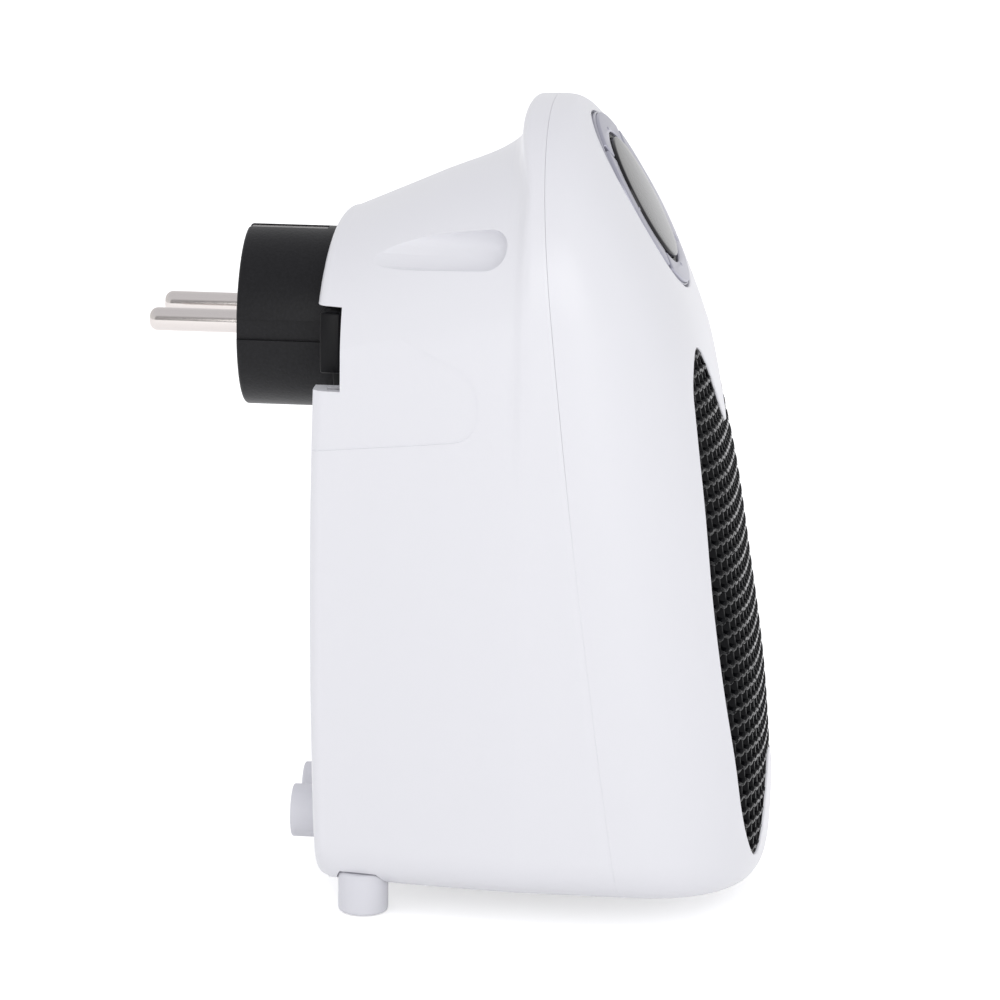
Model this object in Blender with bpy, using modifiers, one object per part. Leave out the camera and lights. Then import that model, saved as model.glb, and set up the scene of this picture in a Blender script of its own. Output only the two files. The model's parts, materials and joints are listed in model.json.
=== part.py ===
"""A plug-in fan heater: two shells, a swivel plug, a dial of buttons, a fan and its heating core.

Metres. X runs across, Y from the front (-) to the back (+), Z up from the ends of the feet.
"""

import math

import bmesh
import bpy
from mathutils import Matrix, Vector

MM = 0.001

# Fits
FIT = 0.3 * MM  # gap between touching pieces
OVERRUN = 2 * MM  # how far a cutter passes a face
WALL = 2.2 * MM
MERGE = 0.02 * MM

# Body, forward reaches counted from the datum plane through the flank
BODY_WIDTH = 89 * MM
BACK_TAPER = 6.9 * MM  # how much narrower each side is at the back
CROWN = 163.1 * MM
BASE = 6 * MM
SHOULDER = 124 * MM  # where the flank turns into the rounded top
FLANK_CORNER = 9 * MM
FRONT_REACH = 57.4 * MM
BACK_REACH = 34.7 * MM
BACK_BOW = 1.6 * MM
BACK_EDGE = 2.5 * MM
BACK_WIDTH = BODY_WIDTH - 2 * BACK_TAPER
BACK_TOP = 138.9 * MM
RIM_FOOT_TOP = 154.25 * MM
SEAM_FOOT = 29.2 * MM  # the seam's reach at the base
SEAM_HEAD = 10.3 * MM  # and at the crown
SEAM_BOW = 1.4 * MM  # how far it bows back between them
SEAM_GAP = FIT
CROWN_POWER = 2.25
FRONT_POWER = 2.7

# Front profile: share of the height between base and crown, share of the front reach
FRONT_PROFILE_SHARES = (
    (0.0, 0.968), (0.010, 0.985), (0.03, 0.996), (0.07, 1.0), (0.158, 0.990), (0.268, 0.960),
    (0.404, 0.902), (0.513, 0.852), (0.62, 0.785), (0.699, 0.730), (0.776, 0.648), (0.852, 0.550),
    (0.903, 0.466), (0.968, 0.340), (0.985, 0.302), (1.0, 0.256),
)
# Rear shell: share of the way from back to seam, share of the width gained, share of the rim's step
REAR_STATION_SHARES = (
    (0.10, 0.12, 0.0), (0.35, 0.45, 0.0), (0.60, 0.72, 0.0), (0.80, 0.87, 0.0),
    (0.85, 0.90, 0.28), (0.89, 0.94, 0.72), (0.915, 0.98, 0.93), (0.94, 1.0, 1.0), (1.0, 1.0, 1.0),
)
RIM_FOOT_SHARE = 0.80

# Air outlet
OUTLET_MARGIN = 12 * MM  # between the outlet and the body's widest line
OUTLET_WIDTH = BODY_WIDTH - 2 * OUTLET_MARGIN
OUTLET_TOP = 115.6 * MM
OUTLET_FOOT = 11.6 * MM
GRILLE_SINK = 0.4 * MM
GRILLE_DEPTH = 3.3 * MM
GRILLE_FLANGE = 1.6 * MM
GRILLE_BORDER = 1.3 * MM
CELL_PITCH = 8.6 * MM
CELL_RIB = 1.4 * MM

# Its far half from the dip at the top to the dip at the foot: share of the half width, share of the height
OUTLET_SHARES = (
    (0.0, 0.826), (0.075, 0.838), (0.17, 0.873), (0.28, 0.925), (0.39, 0.970), (0.46, 0.992), (0.53, 1.0),
    (0.60, 0.996), (0.68, 0.981), (0.755, 0.957), (0.81, 0.928), (0.84, 0.893), (0.90, 0.804), (0.957, 0.671),
    (0.99, 0.536), (1.0, 0.418), (0.988, 0.318), (0.942, 0.195), (0.89, 0.092), (0.838, 0.053), (0.76, 0.020),
    (0.69, 0.004), (0.625, 0.0), (0.565, 0.007), (0.50, 0.026), (0.41, 0.065), (0.317, 0.102), (0.19, 0.137),
    (0.08, 0.156), (0.0, 0.162),
)

# Dial: a ring of four arc buttons round the display
DIAL_HEIGHT = 142.9 * MM
DIAL_TILT = math.radians(29.4)
DIAL_SINK = 1.67 * MM
DIAL_RADIUS = 19.8 * MM
LENS_RADIUS = 13.6 * MM
BEZEL_WALL = 0.7 * MM
BEZEL_FLOOR = 1.2 * MM
BEZEL_DEPTH = 4.9 * MM
BUTTON_PROUD = 0.5 * MM
BUTTON_TRAVEL = 0.6 * MM
BUTTON_GAP = 0.9 * MM
LENS_DOME = 0.6 * MM
EAR_REACH = 5.4 * MM
EAR_WIDTH = 7 * MM
DISPLAY_BOARD_RADIUS = 18 * MM
DISPLAY_WIDTH = 17 * MM
DISPLAY_HEIGHT = 11 * MM
LENS_LEDGE = 1.6 * MM
EAR_PILOT = 0.8 * MM
BOARD = 1.6 * MM

# Plug
PLUG_HEIGHT = 116.5 * MM
PLUG_RADIUS = 18.5 * MM
PLUG_REACH = 17.6 * MM
PLUG_CHAMFER = 1.4 * MM
PIN_SPACING = 19 * MM
PIN_RADIUS = 2.4 * MM
PIN_LENGTH = 19 * MM
PIN_TIP = 1.9 * MM
PIN_ROOT = 9 * MM
GUIDE_WIDTH = 4.3 * MM
GUIDE_DEPTH = 1.7 * MM
CLIP_WIDTH = 5.2 * MM
CLIP_THICK = 0.8 * MM
CLIP_LENGTH = 15 * MM
CLIP_PROUD = 0.25 * MM
RECESS_RADIUS = 32 * MM
RECESS_DEPTH = 7.2 * MM
NOTCH_HEIGHT = 16.6 * MM
COLLAR_RADIUS = 20.6 * MM
COLLAR_TOP = 2.2 * MM  # below the back face
LUG_REACH = 30.4 * MM
LUG_WIDTH = 12.4 * MM
LUG_TOP = 1.8 * MM
LUG_THICK = 3.9 * MM
RETAINER_RADIUS = 21.4 * MM
RETAINER_THICK = 2.4 * MM
RETAINER_SCREW_RADIUS = 10.5 * MM
RETAINER_GRIP = 4.5 * MM

# Finger scoops in both flanks
SCOOP_HEIGHT = 137.2 * MM
SCOOP_RADIUS = 4.6 * MM
SCOOP_FRONT = 0.5 * MM
SCOOP_LENGTH = 26 * MM
SCOOP_INSET = 7.7 * MM  # from the flank to a deep end's middle
SCOOP_SLOPE = math.radians(8.9)

# Feet and wall bumpers
FOOT_RADIUS = 5.1 * MM
FOOT_INSET = 11.5 * MM  # from the flank to a foot's middle
FOOT_REACH = 23.6 * MM
FOOT_LENGTH = 8.5 * MM
BUMPER_RADIUS = 5.5 * MM
BUMPER_SPACING = 17.2 * MM
BUMPER_HEIGHT = 13.4 * MM
BUMPER_REACH = 6.8 * MM  # beyond the back reach
BUMPER_PEG = 3 * MM
BUMPER_PEG_LENGTH = 4 * MM

# Fan and heating core, on one axis through the outlet
FAN_HEIGHT = 60 * MM
CORE_FRAME_ROOM = 9.5 * MM  # from the flank to the heating core's frame
CORE_FRAME_WIDTH = BODY_WIDTH - 2 * CORE_FRAME_ROOM
DUCT_EDGE = 2 * MM  # between the duct and the edge of its flange
DUCT_RADIUS = CORE_FRAME_WIDTH / 2 - DUCT_EDGE
DUCT_WALL = 1.8 * MM
DUCT_BACK = 16 * MM  # reach behind the datum
DUCT_FRONT = 20 * MM
FLANGE_THICK = 2 * MM
CORE_FRAME_DEPTH = 12 * MM
CORE_FRAME_BAR = 7.5 * MM
CORE_WIDTH = CORE_FRAME_WIDTH - 2 * CORE_FRAME_BAR
CORE_DEPTH = 9.6 * MM
CORE_LEDGE = 2 * MM
FIN_GAP = 2.8 * MM
FIN_PITCH = 6 * MM
FIN_MARGIN = 4.5 * MM
FIN_HEIGHT = CORE_WIDTH - 2 * FIN_MARGIN
POST_RADIUS = 3.6 * MM
POST_STAND = 2.6 * MM  # from the duct's wall to a post's middle
POST_CIRCLE = DUCT_RADIUS + POST_STAND
EAR_THICK = 2.3 * MM
MOTOR_RADIUS = 12.2 * MM
MOTOR_LENGTH = 21 * MM
MOTOR_NOSE = 8 * MM  # the motor's front face behind the datum
CUP_WALL = 1.8 * MM
ARM_WIDTH = 6 * MM
SHAFT_RADIUS = 1.2 * MM
SHAFT_LENGTH = 14 * MM
SHAFT_ROOT = 5 * MM
HUB_RADIUS = 8.5 * MM
HUB_LENGTH = 11 * MM
FAN_GAP = 1.2 * MM  # between motor and hub
BLADES = 7
BLADE_TIP_GAP = 1.4 * MM
BLADE_THICK = 1.4 * MM
BLADE_CHORD = 13 * MM
BLADE_PITCH = math.radians(52)
CUTOUT_RADIUS = 6 * MM
CUTOUT_HEIGHT = 4.5 * MM

# Power board behind the plug
POWER_BOARD_ROOM = 6.6 * MM  # from the back's edge to the board
POWER_BOARD_WIDTH = BACK_WIDTH - 2 * POWER_BOARD_ROOM
POWER_BOARD_HEIGHT = 24 * MM
POWER_BOARD_MIDDLE = 111.5 * MM
POWER_BOARD_BACK = 13 * MM
POWER_POST_EDGE = 4 * MM  # from the board's edge to a post's middle
POWER_POST_DROP = 7 * MM  # from the board's middle
RELAY = 14 * MM
RELAY_HEIGHT = 16 * MM
CAPACITOR_RADIUS = 5 * MM

# Rocker switch in the far flank
SWITCH_HEIGHT = 112 * MM
SWITCH_REACH = -12 * MM
SWITCH_WALL = 1.2 * MM
SWITCH_DEPTH = 12 * MM
ROCKER_WIDTH = 8 * MM
ROCKER_HEIGHT = 13 * MM
ROCKER_THICK = 4 * MM
ROCKER_TILT = math.radians(9)
SWITCH_LIP = 1.2 * MM
SWITCH_PROUD = 0.6 * MM

# Screws
LOWER_SCREW_INSET = 12.5 * MM  # from the flank
LOWER_SCREW_HEIGHT = 13 * MM
UPPER_SCREW_INSET = 21 * MM
UPPER_SCREW_HEIGHT = 128.5 * MM
CASE_TUBE_RADIUS = 4.2 * MM
CASE_HEAD_DEPTH = 10 * MM  # from the head's seat to the seam
CASE_SCREW_GRIP = 7 * MM  # length past the seam
SCREW_RADIUS = 1.4 * MM
SCREW_HEAD = 2.7 * MM
SCREW_HEAD_HEIGHT = 1.8 * MM
SMALL_SCREW_RADIUS = 1.0 * MM
SMALL_SCREW_HEAD = 1.9 * MM
SMALL_SCREW_LENGTH = 6 * MM
SMALL_HEAD_HEIGHT = 1.4 * MM

# Rear intake
SLOT_HEIGHT = 2.4 * MM
SLOT_PITCH = 6 * MM
INTAKE_RADIUS = 27 * MM

ROUND = 32
SMALL_ROUND = 16
CORNER_STEPS, FLANK_STEPS, CROWN_STEPS, FRONT_STEPS = 3, 8, 9, 16

HALF_WIDTH = BODY_WIDTH / 2
PIN_END = BACK_REACH + PLUG_REACH + PIN_LENGTH
MIDDLE = (FRONT_REACH - PIN_END) / 2  # forward reach of the whole object's middle


def lerp(a, b, share):
    return a + (b - a) * share


def y_at(reach):
    """World Y of a forward reach."""
    return MIDDLE - reach


def smooth(table, value):
    """Catmull-Rom curve through (place, size) rows."""
    rows = list(table)
    index = max(i for i in range(len(rows) - 1) if i == 0 or rows[i][0] <= value)
    before, here = rows[max(index - 1, 0)], rows[index]
    there, after = rows[index + 1], rows[min(index + 2, len(rows) - 1)]
    span = there[0] - here[0]
    t = (value - here[0]) / span
    slope_here = (there[1] - before[1]) / (there[0] - before[0]) * span
    slope_there = (after[1] - here[1]) / (after[0] - here[0]) * span
    return (
        (2 * t**3 - 3 * t**2 + 1) * here[1]
        + (t**3 - 2 * t**2 + t) * slope_here
        + (3 * t**2 - 2 * t**3) * there[1]
        + (t**3 - t**2) * slope_there
    )


def front_reach(height):
    share = (height - BASE) / (CROWN - BASE)
    return FRONT_REACH * smooth(FRONT_PROFILE_SHARES, min(max(share, 0), 1))


def seam_reach(height):
    share = (height - BASE) / (CROWN - BASE)
    return lerp(SEAM_FOOT, SEAM_HEAD, share) - SEAM_BOW * 4 * share * (1 - share)


def back_reach(height):
    """Reach of the back face, negative: bowed a little about its middle."""
    middle = (BASE + BACK_TOP) / 2
    return -BACK_REACH + BACK_BOW * ((height - middle) / (middle - BASE)) ** 2


def half_outline(half_width, top, bottom, corner):
    """Points (x, z) from the bottom corner up the flank and over to the middle of the top."""
    shoulder = SHOULDER - (CROWN - top) * 0.5
    points = []
    for step in range(CORNER_STEPS + 1):
        turn = math.pi / 2 * step / CORNER_STEPS
        points.append((half_width - corner * (1 - math.sin(turn)), bottom + corner * (1 - math.cos(turn))))
    for step in range(1, FLANK_STEPS):
        points.append((half_width, lerp(bottom + corner, shoulder, step / FLANK_STEPS)))
    for step in range(CROWN_STEPS + 1):
        turn = math.pi / 2 * step / CROWN_STEPS
        x = half_width * abs(math.cos(turn)) ** (2 / CROWN_POWER)
        z = lerp(shoulder, top, math.sin(turn) ** (2 / CROWN_POWER))
        points.append((x if step < CROWN_STEPS else 0, z))
    return points


def clear_scene():
    for obj in list(bpy.data.objects):
        bpy.data.objects.remove(obj)


def collection(name):
    made = bpy.data.collections.new(name)
    bpy.context.scene.collection.children.link(made)
    return made


clear_scene()
PARTS = collection("portable_fan_heater")
CUTTERS = collection("cutters")
CUTTERS.hide_render = True


def material(name, colour, roughness, metallic=0.0):
    made = bpy.data.materials.new(name)
    made.use_nodes = True
    shader = made.node_tree.nodes["Principled BSDF"]
    shader.inputs["Base Color"].default_value = (*colour, 1)
    shader.inputs["Roughness"].default_value = roughness
    shader.inputs["Metallic"].default_value = metallic
    return made


def smooth_shaded(mesh):
    mesh.shade_smooth()
    mesh.set_sharp_from_angle(angle=math.radians(32))
    return mesh


def piece(name, mesh, look, parent=None):
    """A sub-part: one object, with its own material."""
    obj = bpy.data.objects.new(name, smooth_shaded(mesh))
    obj.data.materials.append(material(name, *look))
    PARTS.objects.link(obj)
    obj.parent = parent
    return obj


def helper(name, mesh, parent=None):
    """A cutter or a shape to be joined to a piece, itself never shown."""
    obj = bpy.data.objects.new(name, mesh)
    CUTTERS.objects.link(obj)
    obj.hide_render = True
    obj.display_type = "WIRE"
    obj.parent = parent
    return obj


def place(name, location, rotation=(0, 0, 0), parent=None):
    """An empty that carries pieces: its Z is their axis."""
    empty = bpy.data.objects.new(name, None)
    empty.location = location
    empty.rotation_euler = rotation
    empty.parent = parent
    PARTS.objects.link(empty)
    return empty


def boolean(target, other, operation):
    modifier = target.modifiers.new(operation.lower() + "_" + other.name, "BOOLEAN")
    modifier.object = other
    modifier.operation = operation
    modifier.solver = "EXACT"
    return target


def cut(target, *cutters):
    for other in cutters:
        boolean(target, other, "DIFFERENCE")


def join(target, *others):
    for other in others:
        boolean(target, other, "UNION")


def mesh_from(name, shape):
    bmesh.ops.recalc_face_normals(shape, faces=shape.faces)
    mesh = bpy.data.meshes.new(name)
    shape.to_mesh(mesh)
    shape.free()
    return mesh


def drum(name, radius, low, high, at=(0, 0), sides=ROUND, end_radius=None):
    """A cylinder or cone along Z."""
    shape = bmesh.new()
    middle = Matrix.Translation((at[0], at[1], (low + high) / 2))
    top_radius = radius if end_radius is None else end_radius
    bmesh.ops.create_cone(
        shape, cap_ends=True, segments=sides, radius1=radius, radius2=top_radius, depth=high - low, matrix=middle
    )
    return mesh_from(name, shape)


def block(name, low, high):
    shape = bmesh.new()
    size = Vector(high) - Vector(low)
    middle = (Vector(high) + Vector(low)) / 2
    bmesh.ops.create_cube(shape, size=1, matrix=Matrix.Translation(middle) @ Matrix.Diagonal((*size, 1)))
    return mesh_from(name, shape)


def prism(name, outline, low, high):
    """A flat outline in X and Y, drawn out along Z."""
    shape = bmesh.new()
    face = shape.faces.new([shape.verts.new((x, y, low)) for x, y in outline])
    drawn = bmesh.ops.extrude_face_region(shape, geom=[face])
    moved = [item for item in drawn["geom"] if isinstance(item, bmesh.types.BMVert)]
    bmesh.ops.translate(shape, verts=moved, vec=(0, 0, high - low))
    return mesh_from(name, shape)


def turned(name, profile, look=None, parent=None, sides=ROUND):
    """A profile of (radius, height) rows, top to bottom on its outer side, turned about Z."""
    mesh = bpy.data.meshes.new(name)
    edges = [(i, i + 1) for i in range(len(profile) - 1)]
    if profile[0][0] > 0:
        edges.append((len(profile) - 1, 0))
    mesh.from_pydata([(radius, 0, height) for radius, height in profile], edges, [])
    obj = piece(name, mesh, look, parent) if look else helper(name, mesh, parent)
    screw = obj.modifiers.new("turn", "SCREW")
    screw.steps = screw.render_steps = sides
    screw.use_merge_vertices = True
    screw.merge_threshold = 0.00001
    screw.use_smooth_shade = True
    return obj


def arc(radius, start, end, steps):
    turns = [lerp(start, end, step / steps) for step in range(steps + 1)]
    return [(radius * math.cos(turn), radius * math.sin(turn)) for turn in turns]


def strip_cap(shape, row):
    """Closes a ring that is alike left and right with flat strips from side to side."""
    last = len(row) - 1
    if (row[0].co - row[last].co).length < MERGE:
        return
    for i in range(len(row) // 2):
        corners = [row[i], row[i + 1], row[last - i - 1], row[last - i]]
        shape.faces.new(list(dict.fromkeys(corners)))


def loft(name, rings):
    """Closed rings of equal count, skinned and capped; points that meet are merged."""
    shape = bmesh.new()
    rows = [[shape.verts.new(point) for point in ring] for ring in rings]
    for lower, upper in zip(rows, rows[1:]):
        for i in range(len(lower)):
            j = (i + 1) % len(lower)
            shape.faces.new((lower[i], lower[j], upper[j], upper[i]))
    for row in (rows[0], rows[-1]):
        strip_cap(shape, row)
    bmesh.ops.remove_doubles(shape, verts=shape.verts, dist=MERGE)
    bmesh.ops.triangulate(shape, faces=shape.faces)
    return mesh_from(name, shape)


def rear_ring(inset, half_width, top, reach_of):
    outline = half_outline(half_width - inset, top - inset, BASE + inset, max(FLANK_CORNER - inset, OVERRUN))
    right = [(x, y_at(reach_of(z)), z) for x, z in outline]
    left = [(-x, y, z) for x, y, z in reversed(right[:-1])]
    return right + left


def rear_form(name, inset, past_seam):
    """The rear shell's outer form, or one set in by a wall and run on past the seam."""
    half_back = BACK_WIDTH / 2
    rings = []
    for share in (1.0, 0.3, 0.0):
        setback = BACK_EDGE * (1 - share) ** 2
        rings.append(
            rear_ring(
                inset + BACK_EDGE * share,
                half_back,
                BACK_TOP,
                lambda z, setback=setback: back_reach(z) + inset + setback,
            )
        )
    for share, width_share, step_share in REAR_STATION_SHARES:
        rise = lerp(BACK_TOP, RIM_FOOT_TOP, min(share / RIM_FOOT_SHARE, 1))
        top = lerp(rise, CROWN, step_share)
        past = past_seam if share == 1 else 0
        rings.append(
            rear_ring(
                inset,
                lerp(half_back, HALF_WIDTH, width_share),
                top,
                lambda z, share=share, past=past: lerp(back_reach(z) + BACK_EDGE, seam_reach(z) + past, share),
            )
        )
    return loft(name, rings)


def front_form(name, inset, past_seam):
    """The front shell's outer form, or one set in, as level sections from the base to the crown."""
    rings = []
    outline = half_outline(HALF_WIDTH - inset, CROWN - inset, BASE + inset, max(FLANK_CORNER - inset, OVERRUN))
    for x, z in outline:
        start = seam_reach(z)
        reach = front_reach(z) - inset - start
        ring = []
        for step in range(FRONT_STEPS + 1):
            turn = math.pi * (step / FRONT_STEPS - 0.5)
            side = math.copysign(abs(math.sin(turn)) ** (2 / FRONT_POWER), turn) if turn else 0
            ahead = max(math.cos(turn), 0) ** (2 / FRONT_POWER)
            inside = 0 < step < FRONT_STEPS
            ring.append((x * side, y_at(start + reach * ahead if inside else start - past_seam), z))
        rings.append(ring)
    return loft(name, rings)


def outlet_outline(grow):
    """The air outlet seen from the front, as (x, z) points, each moved out by the given amount."""
    half = [
        (OUTLET_WIDTH / 2 * across, lerp(OUTLET_FOOT, OUTLET_TOP, up)) for across, up in OUTLET_SHARES
    ]
    ring = [(-x, z) for x, z in reversed(half[1:-1])] + half
    points = []
    for index, (x, z) in enumerate(ring):
        before, after = ring[index - 1], ring[(index + 1) % len(ring)]
        along = Vector((after[0] - before[0], after[1] - before[1])).normalized()
        points.append((x - along.y * grow, z + along.x * grow))
    return points


# Frames that carry pieces: Z is forward for the fan, backward for the plug, out of the dial's face
FORWARD = (math.pi / 2, 0, 0)
BACKWARD = (-math.pi / 2, 0, 0)
front_frame = place("front_frame", (0, y_at(0), 0), FORWARD)
fan_frame = place("fan_frame", (0, y_at(0), FAN_HEIGHT), FORWARD)
plug_frame = place("plug_frame", (0, y_at(-BACK_REACH), PLUG_HEIGHT), BACKWARD)
dial_frame = place(
    "dial_frame",
    (0, y_at(front_reach(DIAL_HEIGHT) - DIAL_SINK), DIAL_HEIGHT),
    (math.pi / 2 - DIAL_TILT, 0, 0),
)

WHITE = ((0.86, 0.86, 0.90), 0.32)
BLACK = ((0.015, 0.015, 0.017), 0.5)
BLACK_GLOSS = ((0.01, 0.01, 0.012), 0.08)
SILVER = ((0.55, 0.56, 0.60), 0.28, 1.0)
NICKEL = ((0.66, 0.64, 0.60), 0.25, 1.0)
STEEL = ((0.60, 0.61, 0.62), 0.35, 1.0)
BOARD_GREEN = ((0.03, 0.16, 0.07), 0.55)
DARK_GREY = ((0.05, 0.05, 0.055), 0.55)
ALUMINIUM = ((0.70, 0.71, 0.72), 0.4, 1.0)


def recess_outline(radius, top):
    """A disc cut off above the given height, in the plug frame, whose Y points down."""
    lift = math.asin(top / radius)
    return arc(radius, -lift, math.pi + lift, 26)


def scoop(name, side, grow):
    """A capsule that enters the flank at the rear and runs deeper towards the front."""
    shape = bmesh.new()
    radius = SCOOP_RADIUS + grow
    bmesh.ops.create_uvsphere(shape, u_segments=20, v_segments=9, radius=radius)
    far = [vert for vert in shape.verts if vert.co.z < 0]
    bmesh.ops.translate(shape, verts=far, vec=(0, 0, -SCOOP_LENGTH))
    obj = helper(name, mesh_from(name, shape))
    obj.location = (side * (HALF_WIDTH - SCOOP_INSET), y_at(SCOOP_FRONT), SCOOP_HEIGHT)
    obj.rotation_euler = (math.pi / 2, 0, side * SCOOP_SLOPE)
    return obj


def case_places():
    rows = ((LOWER_SCREW_INSET, LOWER_SCREW_HEIGHT), (UPPER_SCREW_INSET, UPPER_SCREW_HEIGHT))
    return [(side * (HALF_WIDTH - inset), height) for inset, height in rows for side in (-1, 1)]


def duct_ears():
    """The four places where duct and motor bracket are screwed to the rear shell's posts."""
    turns = [math.pi / 4 + quarter * math.pi / 2 for quarter in range(4)]
    return [(POST_CIRCLE * math.cos(turn), POST_CIRCLE * math.sin(turn)) for turn in turns]


def power_places():
    x = POWER_BOARD_WIDTH / 2 - POWER_POST_EDGE
    return [(side * x, POWER_BOARD_MIDDLE - POWER_POST_DROP) for side in (-1, 1)]


def rear_bosses():
    """Everything that stands on the inside of the rear shell, trimmed to lie within its wall."""
    pan = RECESS_DEPTH + WALL
    root = RECESS_DEPTH - pan
    bosses = helper(
        "pan_boss",
        prism("pan_boss", recess_outline(RECESS_RADIUS + WALL, NOTCH_HEIGHT / 2 + WALL), -pan, -root),
        plug_frame,
    )
    join(bosses, helper("plug_boss", drum("plug_boss", COLLAR_RADIUS + WALL, -pan, -root), plug_frame))
    for index, (x, z) in enumerate(case_places()):
        name = f"case_tube_{index}"
        end = seam_reach(z) - SEAM_GAP / 2
        join(bosses, helper(name, drum(name, CASE_TUBE_RADIUS, back_reach(z), end, (x, z), 20), front_frame))
    for index, (x, z) in enumerate(duct_ears()):
        name = f"fan_post_{index}"
        end = -DUCT_BACK - EAR_THICK - 2 * FIT
        join(bosses, helper(name, drum(name, POST_RADIUS, -BACK_REACH, end, (x, z), 20), fan_frame))
    for index, (x, z) in enumerate(power_places()):
        name = f"board_post_{index}"
        join(
            bosses,
            helper(name, drum(name, POST_RADIUS, -BACK_REACH, -POWER_BOARD_BACK - FIT, (x, z), 20), front_frame),
        )
    for side in (-1, 1):
        join(bosses, scoop(f"scoop_boss_{side}", side, WALL))
    boolean(bosses, helper("boss_trim", rear_form("boss_trim", WALL / 2, OVERRUN)), "INTERSECT")
    return bosses


def intake_slots():
    count = int(INTAKE_RADIUS / SLOT_PITCH)
    for row in range(-count, count + 1):
        height = FAN_HEIGHT + row * SLOT_PITCH
        half = math.sqrt(INTAKE_RADIUS**2 - (row * SLOT_PITCH) ** 2)
        low = (-half, y_at(-BACK_REACH + BACK_BOW + WALL + OVERRUN), height - SLOT_HEIGHT / 2)
        high = (half, y_at(-BACK_REACH - OVERRUN), height + SLOT_HEIGHT / 2)
        yield helper(f"slot_{row}", block(f"slot_{row}", low, high))


def rear_shell():
    shell = piece("rear_shell", rear_form("rear_shell", 0, -SEAM_GAP / 2), WHITE)
    cut(shell, helper("rear_hollow", rear_form("rear_hollow", WALL, OVERRUN)))
    join(shell, rear_bosses())
    recess = prism("recess", recess_outline(RECESS_RADIUS, NOTCH_HEIGHT / 2), -RECESS_DEPTH, OVERRUN)
    cut(shell, helper("recess", recess, plug_frame))
    collar_room = drum("collar_room", COLLAR_RADIUS + 2 * FIT, -RECESS_DEPTH, OVERRUN)
    cut(shell, helper("collar_room", collar_room, plug_frame))
    passage = drum("plug_passage", PLUG_RADIUS + FIT, -RECESS_DEPTH - WALL - OVERRUN, OVERRUN, (0, 0), 40)
    cut(shell, helper("plug_passage", passage, plug_frame))
    notch = block(
        "side_notches",
        (-HALF_WIDTH - OVERRUN, -NOTCH_HEIGHT / 2, -RECESS_DEPTH),
        (HALF_WIDTH + OVERRUN, NOTCH_HEIGHT / 2, OVERRUN),
    )
    cut(shell, helper("side_notches", notch, plug_frame))
    cut(shell, *intake_slots())
    for side in (-1, 1):
        cut(shell, scoop(f"scoop_{side}", side, 0))
        name = f"foot_hole_{side}"
        x = side * (HALF_WIDTH - FOOT_INSET)
        hole = drum(name, FOOT_RADIUS + FIT, 0, FOOT_LENGTH + FIT, (x, y_at(-FOOT_REACH)), 24)
        cut(shell, helper(name, hole))
        name = f"bumper_hole_{side}"
        x = side * BUMPER_SPACING / 2
        hole = drum(name, BUMPER_PEG + FIT, -BACK_REACH - OVERRUN, WALL + OVERRUN - BACK_REACH + BACK_BOW, (x, BUMPER_HEIGHT), 20)
        cut(shell, helper(name, hole, front_frame))
    for index, (x, z) in enumerate(case_places()):
        name = f"case_bore_{index}"
        seam = seam_reach(z)
        seat = seam - CASE_HEAD_DEPTH
        cut(shell, helper(name, drum(name, SCREW_RADIUS + FIT, seat - OVERRUN, seam + OVERRUN, (x, z), 16), front_frame))
        name = f"case_sink_{index}"
        cut(shell, helper(name, drum(name, SCREW_HEAD + FIT, -BACK_REACH - OVERRUN, seat, (x, z), 20), front_frame))
    for index, (x, z) in enumerate(duct_ears()):
        name = f"post_bore_{index}"
        start = -DUCT_BACK - EAR_THICK
        cut(shell, helper(name, drum(name, SMALL_SCREW_RADIUS + FIT, start - SMALL_SCREW_LENGTH - FIT, start, (x, z), 12), fan_frame))
    for index, (x, z) in enumerate(power_places()):
        name = f"board_bore_{index}"
        start = -POWER_BOARD_BACK
        cut(shell, helper(name, drum(name, SMALL_SCREW_RADIUS + FIT, start - SMALL_SCREW_LENGTH - FIT, start + FIT, (x, z), 12), front_frame))
    cut(shell, switch_opening())
    return shell


def switch_place():
    return Vector((0, y_at(SWITCH_REACH), SWITCH_HEIGHT))


def flank_width(height, reach):
    """Half width of the rear shell's outside at a place on its flank."""
    share = (reach - back_reach(height) - BACK_EDGE) / (seam_reach(height) - back_reach(height) - BACK_EDGE)
    rows = [(station[0], station[1]) for station in REAR_STATION_SHARES]
    return lerp(BACK_WIDTH / 2, HALF_WIDTH, smooth(rows, share))


def switch_opening():
    half_depth = ROCKER_WIDTH / 2 + SWITCH_WALL + FIT
    half_height = ROCKER_HEIGHT / 2 + SWITCH_WALL + FIT
    middle = switch_place()
    low = middle + Vector((HALF_WIDTH - SWITCH_DEPTH, -half_depth, -half_height))
    high = middle + Vector((HALF_WIDTH + OVERRUN, half_depth, half_height))
    return helper("switch_opening", block("switch_opening", low, high))


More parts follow.
